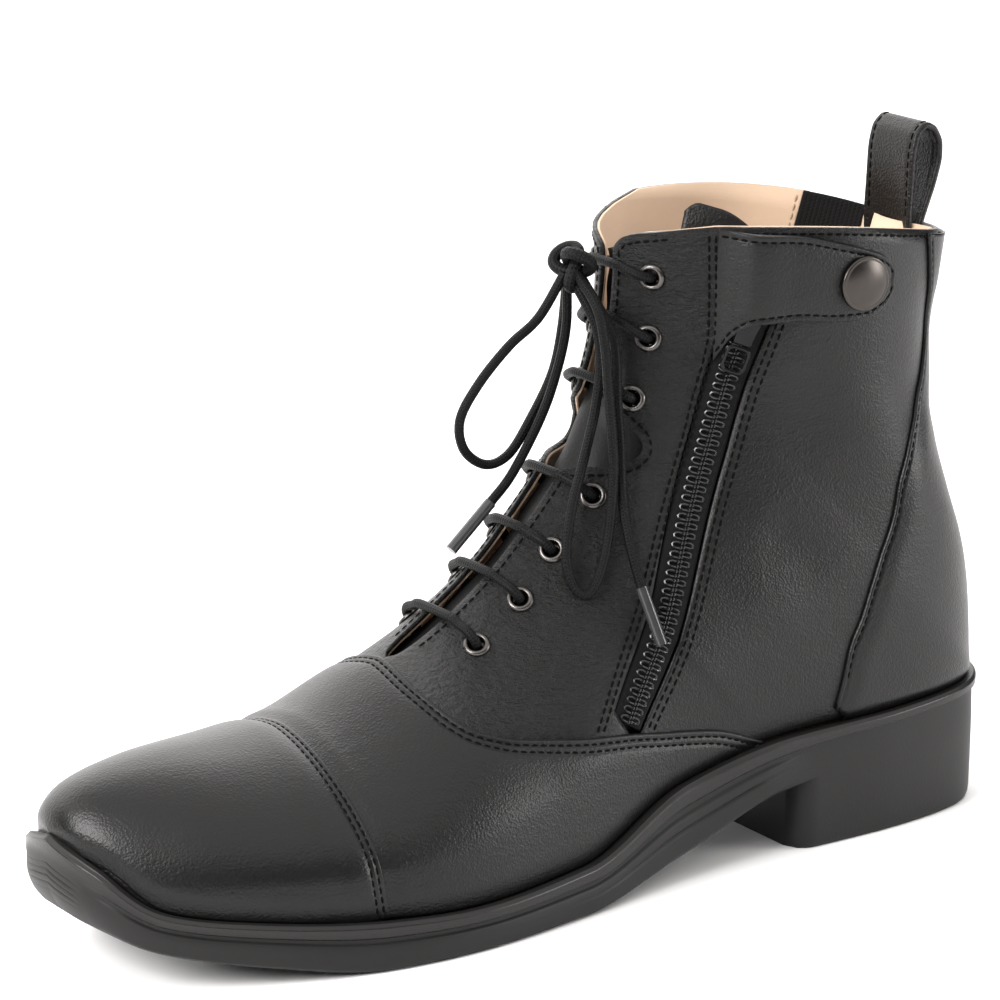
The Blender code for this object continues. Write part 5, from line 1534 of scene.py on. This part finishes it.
def pull_frame(hinge):
    """Rounded square frame of round-edged bar that hangs from its top bar."""
    width, length = (size - PULL_BAR for size in PULL_OUTER)
    path = []
    for cx, cy, start in ((1, 0, 0), (1, -1, -90), (-1, -1, -180), (-1, 0, 90)):
        middle_x = cx * (0.5 * width - PULL_CORNER)
        middle_y = -PULL_CORNER if cy == 0 else PULL_CORNER - length
        for turn in np.linspace(90.0, 0.0, 7):
            angle = math.radians(start + turn)
            path.append((middle_x + PULL_CORNER * math.cos(angle), middle_y + PULL_CORNER * math.sin(angle)))
    path = np.array(path + path[:1])
    away = unit(path - np.array((0.0, -0.5 * length)))
    bead = np.linspace(0.0, 2.0 * math.pi, 13)
    flat = 0.5 * PULL_BAR * np.sign(np.cos(bead)) * np.abs(np.cos(bead)) ** PULL_SQUARE
    tall = 0.5 * PULL_BAR * PULL_FLAT * np.sign(np.sin(bead)) * np.abs(np.sin(bead)) ** PULL_SQUARE
    points = np.stack((
        path[:, :1] + away[:, :1] * flat, path[:, 1:] + away[:, 1:] * flat,
        np.repeat(tall[None, :], len(path), axis=0)), axis=-1)
    bm = closed_up(woven(points + ORIGIN))
    bmesh.ops.transform(bm, matrix=hinge, verts=bm.verts)
    return bm


# Laces

# An eyelet's rolled ring and barrel, as distance from its outer edge and height.
EYELET_RING = (
    (-0.15, -0.1), (0.0, 0.12), (-0.12, 0.45), (-0.5, 0.8), (-0.95, 0.92), (-1.35, 0.78), (-1.62, 0.4),
    (-1.72, -0.2), (-1.72, -2.1), (-1.5, -2.1), (-1.45, -0.15), (-0.15, -0.1),
)
EYELET_SINK = 0.1

# A lace bar's way from behind an eyelet to the throat: distance towards the ridge and height.
BAR_WAY = (
    (-3.5, -3.8), (0.0, -2.6), (0.0, 0.6), (1.2, 2.0), (3.0, 2.6), (4.6, 2.45), (7.5, 1.95), (11.5, 1.75),
)
KNOT_TURN = (2.6, 2.15, 2.0)
KNOT_SWELL = 1.3
TIP_RADIUS = 1.65
TIP_LAP = 0.6


def make_eyelets(sizes):
    """Rolled rings with their barrels through the leather."""
    outer = 0.5 * METRE * sizes.eyelet
    profile = [(outer + inset, height) for inset, height in EYELET_RING]
    for side, word in ((NEAR, "near"), (FAR, "far")):
        rings = [
            turned(profile, 28, seat_frame(u, v, GAP - EYELET_SINK, (0.0, 0.0, 1.0)))
            for u, v in zip(EYELET_U[side], EYELETS["v"])
        ]
        nodes = [f"eyelet_{word}_{index + 1}" for index in range(len(rings))]
        add_piece(f"eyelet_rings_{word}", joined(*rings), "gunmetal", nodes, sharp=70.0)


def bar_path(v, setback):
    """Route of one lace bar: out of the near eyelet, over the throat and into the far one."""
    near, far = (
        [lifted(from_ridge(side, setback - ahead, v), v, lift) for ahead, lift in BAR_WAY]
        for side in (NEAR, FAR)
    )
    return smooth_route(near + far[::-1])


def knot_exit(direction):
    """Point inside the knot where a strand leaves it."""
    ahead = unit(np.array(direction))
    return np.array(KNOT) + KNOT_DEPTH / np.linalg.norm(ahead / np.array(KNOT_RADII)) * ahead


def knot_path():
    """A drawn-up overhand turn: one closed strand that passes over and under itself."""
    t = np.linspace(0.0, 2.0 * math.pi, 121)[:-1]
    x, y, z = np.sin(t) + 2.0 * np.sin(2.0 * t), np.cos(t) - 2.0 * np.cos(2.0 * t), -np.sin(3.0 * t)
    return np.array(KNOT) + np.column_stack((z, x, y)) * KNOT_TURN


def make_laces(sizes):
    """Lace bars through the eyelets, and the bow with its knot, loops, ends and tips."""
    radius = 0.5 * METRE * sizes.lace
    for index, (v, setback) in enumerate(zip(EYELETS["v"], EYELETS["setback"]), start=1):
        bar = tube(bar_path(v, setback), radius)
        add_piece(f"lace_run_{index}", bar, "lace", (f"lace_bar_{index}",))
    path = knot_path()
    knot = tube(np.vstack((path, path[:1])), KNOT_SWELL * radius)
    add_piece("lace_knot", knot, "lace", ("bow_knot",))
    far_tip = lace_tip("far", FAR_END[-1], FAR_AGLET)
    near_tip = lace_tip("near", NEAR_END[-1], NEAR_AGLET)
    strands = (
        ("lace_loop_far", "bow_loop_far", "far_loop", FAR_LOOP, ()),
        ("lace_loop_near", "bow_loop_near", "near_loop", NEAR_LOOP, ()),
        ("lace_end_far", "bow_end_far", "far_end", FAR_END, (far_tip,)),
        ("lace_end_near", "bow_end_near", "near_end", NEAR_END, (near_tip,)),
    )
    for name, node, key, route, tips in strands:
        start, *finish = (knot_exit(direction) for direction in LEAVES[key])
        path = smooth_route([start, *route, *finish])
        obj = add_piece(name, tube(path, radius), "lace", (node,))


def lace_tip(word, start, end):
    """Clear tip crimped round a lace's end."""
    start, end = np.array(start), np.array(end)
    length = np.linalg.norm(end - start)
    path = start + (end - start) / length * np.linspace(-TIP_LAP, length, 16)[:, None]
    bm = tube(path, TIP_RADIUS, around=14)
    return add_piece(f"lace_tip_{word}", bm, "tip", (f"aglet_{word}",))


# Sole

# Grids of the sole's parts.
SOLE_STATIONS = 300
SOLE_ROWS = 82
SOLE_COLUMNS = 61
HEEL_STATIONS = 90
HEEL_COLUMNS = 41
INSOLE_STATIONS = 120
INSOLE_COLUMNS = 31

# The outsole's wall: its plain stretch over the heel, the toe's inset, undercut and ribs, the waist's line.
SEAT_END = 4.3
SEAT_RUN = 0.5
FLANGE_SHARE = 0.66
TOE_INSET = 0.2
TOE_UNDERCUT = 3.4
TOE_BEAD = 1.2
TOE_RIBS = 11.0
TOE_RIB_DEPTH = 0.35
TOE_RIB_START = 11.2
TOE_RIB_RUN = 0.35
WAIST_LINE = ((4.0, 4.4, 5.2, 6.2), (0.0, 1.0, 1.0, 0.0))
WAIST_LINE_DEPTH = 0.55
WAIST_LINE_AT = 0.40
WAIST_LINE_HALF = 0.028
FLANGE_LIP = 0.1
# A band high on the wall, on the flange's bead, polished and painted paler as a highlight: its level and
# spread.
HIGHLIGHT_AND_POLISH_LEVEL = 0.86
HIGHLIGHT_AND_POLISH_SPREAD = 0.12

# Tread: chevron pitch and slope, plain border, the station where it starts and the toe's end of it.
CHEVRON_PITCH = 7.0
CHEVRON_SLOPE = 0.35
TREAD_BORDER = 6.0
TREAD_START = 5.4
TREAD_RUN = 0.6
TREAD_END = 291.0
HEEL_TREAD_BACK = 3.0

# The heel block: inset and share of the drop from seat to floor, and the round of its breast's corners.
HEEL_PROFILE = (
    (1.8, 0.0), (HEEL_INSET, 0.02), (HEEL_INSET, 0.12), (1.3, 0.3), (1.5, 0.6), (1.75, 0.88),
    (1.95, 0.94), (2.3, 0.975), (2.8, 0.995), (3.2, 1.0),
)
BREAST_ROUND = 6.0
INSOLE_GAP = 1.4
INSOLE_THICK = 1.6
INSOLE_CUP = 0.5


def grooves(x, y, edge):
    """Tread relief from 0 to 1: shallow chevrons inside a plain border."""
    wave = (x + CHEVRON_SLOPE * np.abs(y)) / CHEVRON_PITCH
    groove = soft_step((np.abs(wave - np.floor(wave) - 0.5) - 0.32) / 0.06)
    return groove * soft_step((edge - TREAD_BORDER) / 1.5)


def across_sole(stations, inset, columns):
    """Plan points from the near edge to the far one, and their distances from the nearer edge."""
    near, far = (plan_edge(place, inset) for place in (stations, (ROUND - stations) % ROUND))
    share = np.linspace(0.0, 1.0, columns)
    flat = near[:, None, :] + share[None, :, None] * (far - near)[:, None, :]
    return flat, np.minimum(share, 1.0 - share) * (near - far)[:, 1:]


def seat_share(station):
    """1 over the heel, where the outsole's wall is plain, and 0 before the breast."""
    return soft_step((SEAT_END - station) / SEAT_RUN)


def toe_share(station):
    """1 round the toe bumper and 0 behind it."""
    return np.interp(station, BUMPER["station"], BUMPER["share"])


def sole_wall(stations):
    """Wall of the outsole up to its flange: ribbed at the toe, lined at the waist and plain at the heel."""
    q = np.concatenate((stations, ROUND - stations[-2::-1]))
    station = np.where(q <= TOE, q, ROUND - q)
    toe, heel = toe_share(station), seat_share(station)
    tip = soft_step((station - TOE_RIB_START) / TOE_RIB_RUN)
    waist = np.interp(station, *WAIST_LINE)
    low, high = sole_at("under", q), sole_at("top", q)
    rings = []
    for inset, share in zip(*smooth_line(SOLE_WALL["inset"], SOLE_WALL["share"], SOLE_ROWS)):
        ribbed = math.sin(math.pi * min(max((share - 0.22) / 0.5, 0.0), 1.0))
        ribs = tip * TOE_RIB_DEPTH * ribbed * max(math.cos(2.0 * math.pi * TOE_RIBS * share), 0.0) ** 3
        under_toe = toe * TOE_UNDERCUT * max(1.0 - share / 0.5, 0.0) ** 2
        line = WAIST_LINE_DEPTH * waist * math.exp(-((share - WAIST_LINE_AT) / WAIST_LINE_HALF) ** 2)
        plain = min(inset, HEEL_INSET) if share > FLANGE_SHARE else HEEL_INSET
        depth = (inset + heel * (plain - inset)) * (1.0 - toe) + toe * TOE_INSET + ribs + line + under_toe
        depth = depth + toe * TOE_BEAD * float(soft_step((share - 0.93) / 0.07))
        rings.append(np.column_stack((plan_edge(q, depth), low + share * (high - low))))
    flange = (
        (2.0, high + 0.05), (FLANGE_INSET, high - 0.1), (FLANGE_INSET + FLANGE_LIP, sole_at("floor", q)))
    for inset, height in flange:
        rings.append(np.column_stack((plan_edge(q, np.full(len(q), inset)), height)))
    return woven(np.array(rings))


def sole_faces(stations, sizes):
    """Underside of the outsole with its tread, and its floor inside the flange."""
    toe = toe_share(stations)
    inset = SOLE_WALL["inset"][0]
    inset = inset + seat_share(stations) * (HEEL_INSET - inset)
    flat, border = across_sole(stations, inset * (1.0 - toe) + toe * (TOE_INSET + TOE_UNDERCUT), SOLE_COLUMNS)
    border = np.minimum(border, TREAD_END - flat[..., 0])
    shown = soft_step((stations - TREAD_START) / TREAD_RUN)[:, None]
    relief_height = METRE * sizes.tread * shown * grooves(flat[..., 0], flat[..., 1], border)
    under = np.dstack((flat, columns_of(sole_at("under", stations), SOLE_COLUMNS) + relief_height))
    flat, border = across_sole(stations, np.full(len(stations), FLANGE_INSET + FLANGE_LIP), SOLE_COLUMNS)
    floor = np.dstack((flat, columns_of(sole_at("floor", stations), SOLE_COLUMNS)))
    return woven(under), woven(floor)


def make_outsole(sizes):
    """Moulded outsole: tread, ribbed wall, flange and toe bumper."""
    stations = np.linspace(0.0, TOE, SOLE_STATIONS + 1)
    bm = closed_up(joined(sole_wall(stations), *sole_faces(stations, sizes)))
    obj = add_piece("rubber_outsole", bm, "rubber", ("outsole",), sharp=40.0)
    # Painted highlight and polish along the bead, high on the wall.
    x, z = seen_from_side(obj)
    row = np.interp(x, SOLE["x"], np.arange(TOE + 1))
    level = (z - sole_at("under", row)) / (sole_at("top", row) - sole_at("under", row))
    paint(obj, "wear", np.exp(-((level - HIGHLIGHT_AND_POLISH_LEVEL) / HIGHLIGHT_AND_POLISH_SPREAD) ** 2))


def make_heel(sizes):
    """Heel block with rounded breast corners and its own tread."""
    stations = np.linspace(0.0, HEEL_END, HEEL_STATIONS + 1)
    breast = plan_edge(HEEL_END)[0]
    to_breast = np.maximum(breast - plan_edge(stations)[:, 0], 0.0)
    tight = np.maximum(BREAST_ROUND - to_breast, 0.0)
    extra = BREAST_ROUND - np.sqrt(np.maximum(BREAST_ROUND ** 2 - tight ** 2, 0.0))
    seat = sole_at("under", stations) + HEEL_LAP
    rings, sheets = [], []
    for inset, drop in HEEL_PROFILE:
        flat, border = across_sole(stations, inset + extra, HEEL_COLUMNS)
        sheet = np.dstack((flat, columns_of(seat * (1.0 - drop), HEEL_COLUMNS)))
        rings.append(np.vstack((sheet[:, 0], sheet[-1, 1:-1], sheet[::-1, -1])))
        sheets.append(sheet)
    x = sheets[-1][..., 0]
    border = np.minimum(border, np.minimum(x - HEEL_TREAD_BACK, breast - x))
    sheets[-1][..., 2] += METRE * sizes.tread * grooves(x, sheets[-1][..., 1], border)
    bm = closed_up(joined(woven(np.array(rings)), woven(sheets[0]), woven(sheets[-1])))
    add_piece("rubber_heel", bm, "rubber", ("heel",), sharp=40.0)


def make_insole():
    """Footbed covered with calf, slightly cupped at the heel."""
    stations = np.linspace(0.0, TOE, INSOLE_STATIONS + 1)
    flat = across_sole(stations, FEATHER_INSET + WALL + INSOLE_GAP, INSOLE_COLUMNS)[0]
    share = np.linspace(0.0, 1.0, INSOLE_COLUMNS)
    cup = INSOLE_CUP * (1.0 - np.sin(math.pi * share)) * soft_step((5.0 - stations) / 3.0)[:, None]
    floor = columns_of(sole_at("floor", stations) + GAP, INSOLE_COLUMNS)
    top, bottom = (woven(np.dstack((flat, height))) for height in (floor + INSOLE_THICK + cup, floor))
    add_piece("calf_insole", closed_up(joined(top, bottom)), "lining", ("insole",))


# Stitching

# Distances of the rows from the lines that they follow, and where they start and stop.
FRONT_ROWS = (-0.9, 0.9)
ZIP_ROWS = (1.5, 3.4)
FACING_ROW = 2.3
FACING_SPAN = (8.75, 18.75)
COLLAR_ROW = 1.7
COLLAR_SPAN = (0.075, 0.36)
COUNTER_ROW_START = 11.9
GORE_ROW = 3.4
LOOP_ROW_FROM = 168.0
LOOP_ROW_LIFT = 0.85
STITCH_SINK = 0.02
THREAD_FLAT = 0.42
THREAD_SHARP = 80.0


def stitch_line(bm, points, normals, sizes):
    """Stitches along a line of points in millimetres, half sunk into the leather."""
    run = run_along(points)
    count = max(int(run[-1] / (METRE * sizes.stitch_pitch)), 1)
    along = np.gradient(points, axis=0)
    for at in (np.arange(count) + 0.5) / count * run[-1]:
        middle, ahead, up = (
            np.array([np.interp(at, run, values[:, axis]) for axis in range(3)])
            for values in (points, along, normals)
        )
        ahead = Vector(ahead).normalized()
        side = ahead.cross(Vector(up)).normalized()
        up = side.cross(ahead)
        axes = (side * 0.5 * sizes.thread, up * THREAD_FLAT * sizes.thread, ahead * 0.5 * sizes.stitch)
        matrix = Matrix(axes).transposed().to_4x4()
        matrix.translation = placed(middle - STITCH_SINK * np.array(up))
        bmesh.ops.create_uvsphere(bm, u_segments=6, v_segments=5, radius=1.0, matrix=matrix)


def stitch_on_skin(bm, u, v, lift, sizes):
    """Stitches along a line on the upper or on a panel of the given height."""
    lift = np.broadcast_to(np.asarray(lift, float), np.shape(u))
    stitch_line(bm, lifted(u, v, lift), outward(u, v), sizes)


def stitch_panels(sizes):
    """Rows of the toe cap, vamp and counter."""
    bm = bmesh.new()
    for edge, rows, full, columns in (
            (CAP_EDGE, CAP_STITCHES, CAP_HEIGHT, CAP_COLUMNS),
            (VAMP_EDGE, VAMP_STITCHES, VAMP_HEIGHT, VAMP_COLUMNS)):
        line = edge_line(edge, columns)
        for distance in rows:
            u, v = beside(*line, distance)
            keep = up_side(u) > sole_line(v) + 0.006
            height = tucked(u, v, rolled(np.full(len(u), distance), full, rows))
            stitch_on_skin(bm, u[keep], v[keep], height[keep], sizes)
    v = np.linspace(COUNTER_ROW_START, RIM - 0.1, 200)
    for side in (NEAR, FAR):
        u = counter_edge(side, v) - COUNTER_STITCHES[0] / (2.0 * half_length(side, v))
        height = rolled(np.full(len(v), COUNTER_STITCHES[0]), COUNTER_HEIGHT, COUNTER_STITCHES)
        stitch_on_skin(bm, on_side(side, u), v, height, sizes)
    add_piece("stitching_panels", bm, "thread", sharp=THREAD_SHARP)


def stitch_upper(sizes):
    """Rows of the front seams, the zip, the facings and the collar."""
    bm = bmesh.new()
    for side in (NEAR, FAR):
        u, v = from_side(*smooth_line(FRONT_SEAM["x"], FRONT_SEAM["z"], 160), side)
        keep = up_side(u) < 0.49
        for distance in FRONT_ROWS:
            row_u, row_v = beside(u, v, distance)
            shown = keep & (row_v > panel_edge(VAMP_EDGE, row_u) + 0.05)
            row_u, row_v = row_u[shown], row_v[shown]
            stitch_on_skin(bm, row_u, row_v, creased(skin(row_u, row_v)), sizes)
    share = np.linspace(0.02, 0.94, 160)
    for distance in ZIP_ROWS:
        u, v = zip_place(share, -SLOT_HALF - distance)
        stitch_on_skin(bm, u, v, creased(skin(u, v)), sizes)
    for side in (NEAR, FAR):
        v = np.linspace(*FACING_SPAN, 420)
        u, v = beside(from_ridge(side, throat_edge(side, v), v), v, -FACING_ROW * side)
        stitch_on_skin(bm, u, v, 0.0, sizes)
        rim = np.linspace(*COLLAR_SPAN, 120)
        rim = on_side(side, rim[::side])
        stitch_on_skin(bm, *beside(rim, np.full(len(rim), RIM - 0.001), COLLAR_ROW), 0.0, sizes)
    add_piece("stitching_upper", bm, "thread", sharp=THREAD_SHARP)


def stitch_strap(sizes):
    """Rows round the strap and along the pull loop's edges."""
    bm = bmesh.new()
    x, low, high, lift = strap_rows()
    face = strap_face(np.array([STRAP_STITCH]))[0]
    straight = slice(2, -6)
    for edge, inward in ((low, STRAP_STITCH), (high, -STRAP_STITCH)):
        u, v = from_side(x[straight], edge[straight] + inward)
        stitch_on_skin(bm, u, v, strap_rise(x[straight]) * (lift[straight] + face), sizes)
    u, v = from_side(np.full(12, x[-1] + 2.0), np.linspace(low[-7] + 2.2, high[-7] - 2.2, 12))
    stitch_on_skin(bm, u, v, lift[-1] + face, sizes)
    line, inward = loop_line()
    shown = line[:, 1] > LOOP_ROW_FROM
    edge = 0.5 * LOOP_WIDTH - LOOP_STITCH
    bend = line[:, 2] * (edge / (0.5 * LOOP_WIDTH)) ** 2
    out = np.column_stack((-inward[:, 0], np.zeros(len(line)), -inward[:, 1]))
    for side in (NEAR, FAR):
        width = np.full(len(line), HEEL_MIDDLE + side * edge)
        middle = np.column_stack((line[:, 0] + bend, width, line[:, 1]))
        stitch_line(bm, (middle + LOOP_ROW_LIFT * out)[shown], out[shown], sizes)
    add_piece("stitching_strap", bm, "thread", sharp=THREAD_SHARP)


def stitch_lining(sizes):
    """Row of tan thread on the lining, beside the gore."""
    bm = bmesh.new()
    depth = -METRE * (sizes.leather + sizes.lining) - 0.12
    v = np.linspace(GORE["v"][0], RIM - 0.05, 60)
    u = gore_marks(v, -GORE_ROW)[1]
    stitch_line(bm, lifted(u, v, np.full(len(v), depth)), -outward(u, v), sizes)
    add_piece("stitching_lining", bm, "tan_thread", sharp=THREAD_SHARP)


# Stage

# The camera, fitted to the photograph: what it looks at and its distance in millimetres, angles and lens.
TARGET = (8.25, -1.105, 105.98)
TURN = math.radians(32.6)
TILT = math.radians(15.4)
ROLL = math.radians(-0.75)
DISTANCE = 1252.5
LENS = 168.48
SENSOR = 36.0
CLIP = (0.05, 50.0)

# The floor's half width, the surround's strength, and the soft boxes: place, aim, size in metres and power.
FLOOR_HALF = 12.0
SURROUND = 0.1
LAMP_COLOUR = (1.0, 0.98, 0.97)
LIGHTS = (
    ("soft_ceiling", (0.0, 0.0, 3.0), (0.0, 0.0, 0.0), (8.0, 8.0), 330.0),
    ("soft_backdrop", (-0.3, -2.3, 1.3), (0.0, 0.0, 0.35), (5.5, 2.5), 120.0),
    ("soft_box_toe", (1.15, 0.2, 0.75), (0.1, 0.0, 0.06), (0.7, 0.6), 26.0),
    ("soft_box_heel", (-1.25, 0.95, 0.32), (-0.05, 0.0, 0.08), (0.5, 0.55), 13.0),
)


def make_camera():
    """Camera at the photograph's angle to the boot."""
    back = Vector((math.sin(TURN) * math.cos(TILT), math.cos(TURN) * math.cos(TILT), math.sin(TILT)))
    right = Vector((-math.cos(TURN), math.sin(TURN), 0.0))
    up = back.cross(right)
    rolled_right = math.cos(ROLL) * right + math.sin(ROLL) * up
    rolled_up = -math.sin(ROLL) * right + math.cos(ROLL) * up
    data = bpy.data.cameras.new("camera")
    data.lens = LENS
    data.sensor_width = SENSOR
    data.clip_start, data.clip_end = CLIP
    camera = bpy.data.objects.new("camera", data)
    bpy.context.scene.collection.objects.link(camera)
    matrix = Matrix((rolled_right, rolled_up, back)).transposed().to_4x4()
    matrix.translation = Vector(TARGET) * MM + back * DISTANCE * MM
    camera.matrix_world = matrix
    bpy.context.scene.camera = camera


def add_light(name, place, aim, size, power):
    """A soft box that faces a point."""
    data = bpy.data.lights.new(name, "AREA")
    data.shape = "RECTANGLE"
    data.size, data.size_y = size
    data.energy = power
    data.color = LAMP_COLOUR
    light = bpy.data.objects.new(name, data)
    bpy.context.scene.collection.objects.link(light)
    light.location = place
    light.rotation_euler = (Vector(aim) - Vector(place)).to_track_quat("-Z", "Y").to_euler()


def make_stage(colours):
    """Pale floor, soft boxes and an even pale surround."""
    bm = bmesh.new()
    bmesh.ops.create_grid(bm, x_segments=2, y_segments=2, size=FLOOR_HALF)
    mesh = bpy.data.meshes.new("floor")
    bm.to_mesh(mesh)
    bm.free()
    floor = bpy.data.objects.new("floor", mesh)
    bpy.context.scene.collection.objects.link(floor)
    mat, _, shader = base_finish("studio_floor", 0.9)
    shader.inputs["Base Color"].default_value = (*colours.floor, 1.0)
    mesh.materials.append(mat)
    world = bpy.data.worlds.new("studio")
    world.use_nodes = True
    back = world.node_tree.nodes["Background"]
    back.inputs["Color"].default_value = (1.0, 1.0, 1.0, 1.0)
    back.inputs["Strength"].default_value = SURROUND
    bpy.context.scene.world = world
    bpy.context.scene.view_settings.view_transform = "Standard"
    for light in LIGHTS:
        add_light(*light)


# Add-on


class BOOT_OT_stage(bpy.types.Operator):
    """Camera, floor and studio light"""

    bl_idname = "boot.stage"
    bl_label = "Stage"

    def execute(self, context):
        make_camera()
        make_stage(context.scene.boot_colours)
        return {"FINISHED"}


class BOOT_OT_finishes(bpy.types.Operator):
    """Finishes that the pieces share"""

    bl_idname = "boot.finishes"
    bl_label = "Finishes"

    def execute(self, context):
        mix_finishes(context.scene.boot_colours)
        return {"FINISHED"}


class BOOT_OT_laces(bpy.types.Operator):
    """Eyelets, lace bars and the bow"""

    bl_idname = "boot.laces"
    bl_label = "Laces and eyelets"

    def execute(self, context):
        make_laces(context.scene.boot_sizes)
        make_eyelets(context.scene.boot_sizes)
        return {"FINISHED"}


class BOOT_OT_sole(bpy.types.Operator):
    """Outsole, heel and insole"""

    bl_idname = "boot.sole"
    bl_label = "Sole"

    def execute(self, context):
        make_outsole(context.scene.boot_sizes)
        make_heel(context.scene.boot_sizes)
        make_insole()
        return {"FINISHED"}


class BOOT_OT_upper(bpy.types.Operator):
    """Upper, lining, tongue and zip flap"""

    bl_idname = "boot.upper"
    bl_label = "Upper"

    def execute(self, context):
        make_upper(context.scene.boot_sizes)
        make_tongue()
        make_zip_flap()
        return {"FINISHED"}


class BOOT_OT_panels(bpy.types.Operator):
    """Toe cap, vamp and counter"""

    bl_idname = "boot.panels"
    bl_label = "Panels"

    def execute(self, context):
        make_cap()
        make_vamp()
        make_counter()
        return {"FINISHED"}


class BOOT_OT_fastening(bpy.types.Operator):
    """Zip, strap, snap, elastic and pull loop"""

    bl_idname = "boot.fastening"
    bl_label = "Fastening"

    def execute(self, context):
        make_tape()
        make_coil(context.scene.boot_sizes)
        make_slider()
        make_strap()
        make_snap(context.scene.boot_sizes)
        make_gore()
        make_loop()
        return {"FINISHED"}


class BOOT_OT_stitching(bpy.types.Operator):
    """Stitch rows of every seam"""

    bl_idname = "boot.stitching"
    bl_label = "Stitching"

    def execute(self, context):
        for stitch_rows in (stitch_panels, stitch_upper, stitch_strap, stitch_lining):
            stitch_rows(context.scene.boot_sizes)
        return {"FINISHED"}


STEPS = (BOOT_OT_stage, BOOT_OT_finishes, BOOT_OT_laces, BOOT_OT_sole, BOOT_OT_upper, BOOT_OT_panels,
         BOOT_OT_fastening, BOOT_OT_stitching)


class BOOT_PT_panel(bpy.types.Panel):
    """Sizes, colours and steps of the boot"""

    bl_label = "Jodhpur boot"
    bl_idname = "BOOT_PT_panel"
    bl_space_type = "VIEW_3D"
    bl_region_type = "UI"
    bl_category = "Boot"

    def draw(self, context):
        for group in (context.scene.boot_sizes, context.scene.boot_colours):
            box = self.layout.box()
            for name in group.__annotations__:
                box.prop(group, name)
        for step in STEPS:
            self.layout.operator(step.bl_idname)


CLASSES = (BootSizes, BootColours, *STEPS, BOOT_PT_panel)


def register():
    """Adds the classes and the scene's settings."""
    for cls in CLASSES:
        bpy.utils.register_class(cls)
    bpy.types.Scene.boot_sizes = PointerProperty(type=BootSizes)
    bpy.types.Scene.boot_colours = PointerProperty(type=BootColours)


def unregister():
    """Takes the settings and classes away."""
    del bpy.types.Scene.boot_colours
    del bpy.types.Scene.boot_sizes
    for cls in reversed(CLASSES):
        bpy.utils.unregister_class(cls)


def main():
    """Registers the add-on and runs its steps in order."""
    register()
    for name in ("stage", "finishes", "laces", "sole", "upper", "panels", "fastening", "stitching"):
        getattr(bpy.ops.boot, name)()


if __name__ == "__main__":
    main()
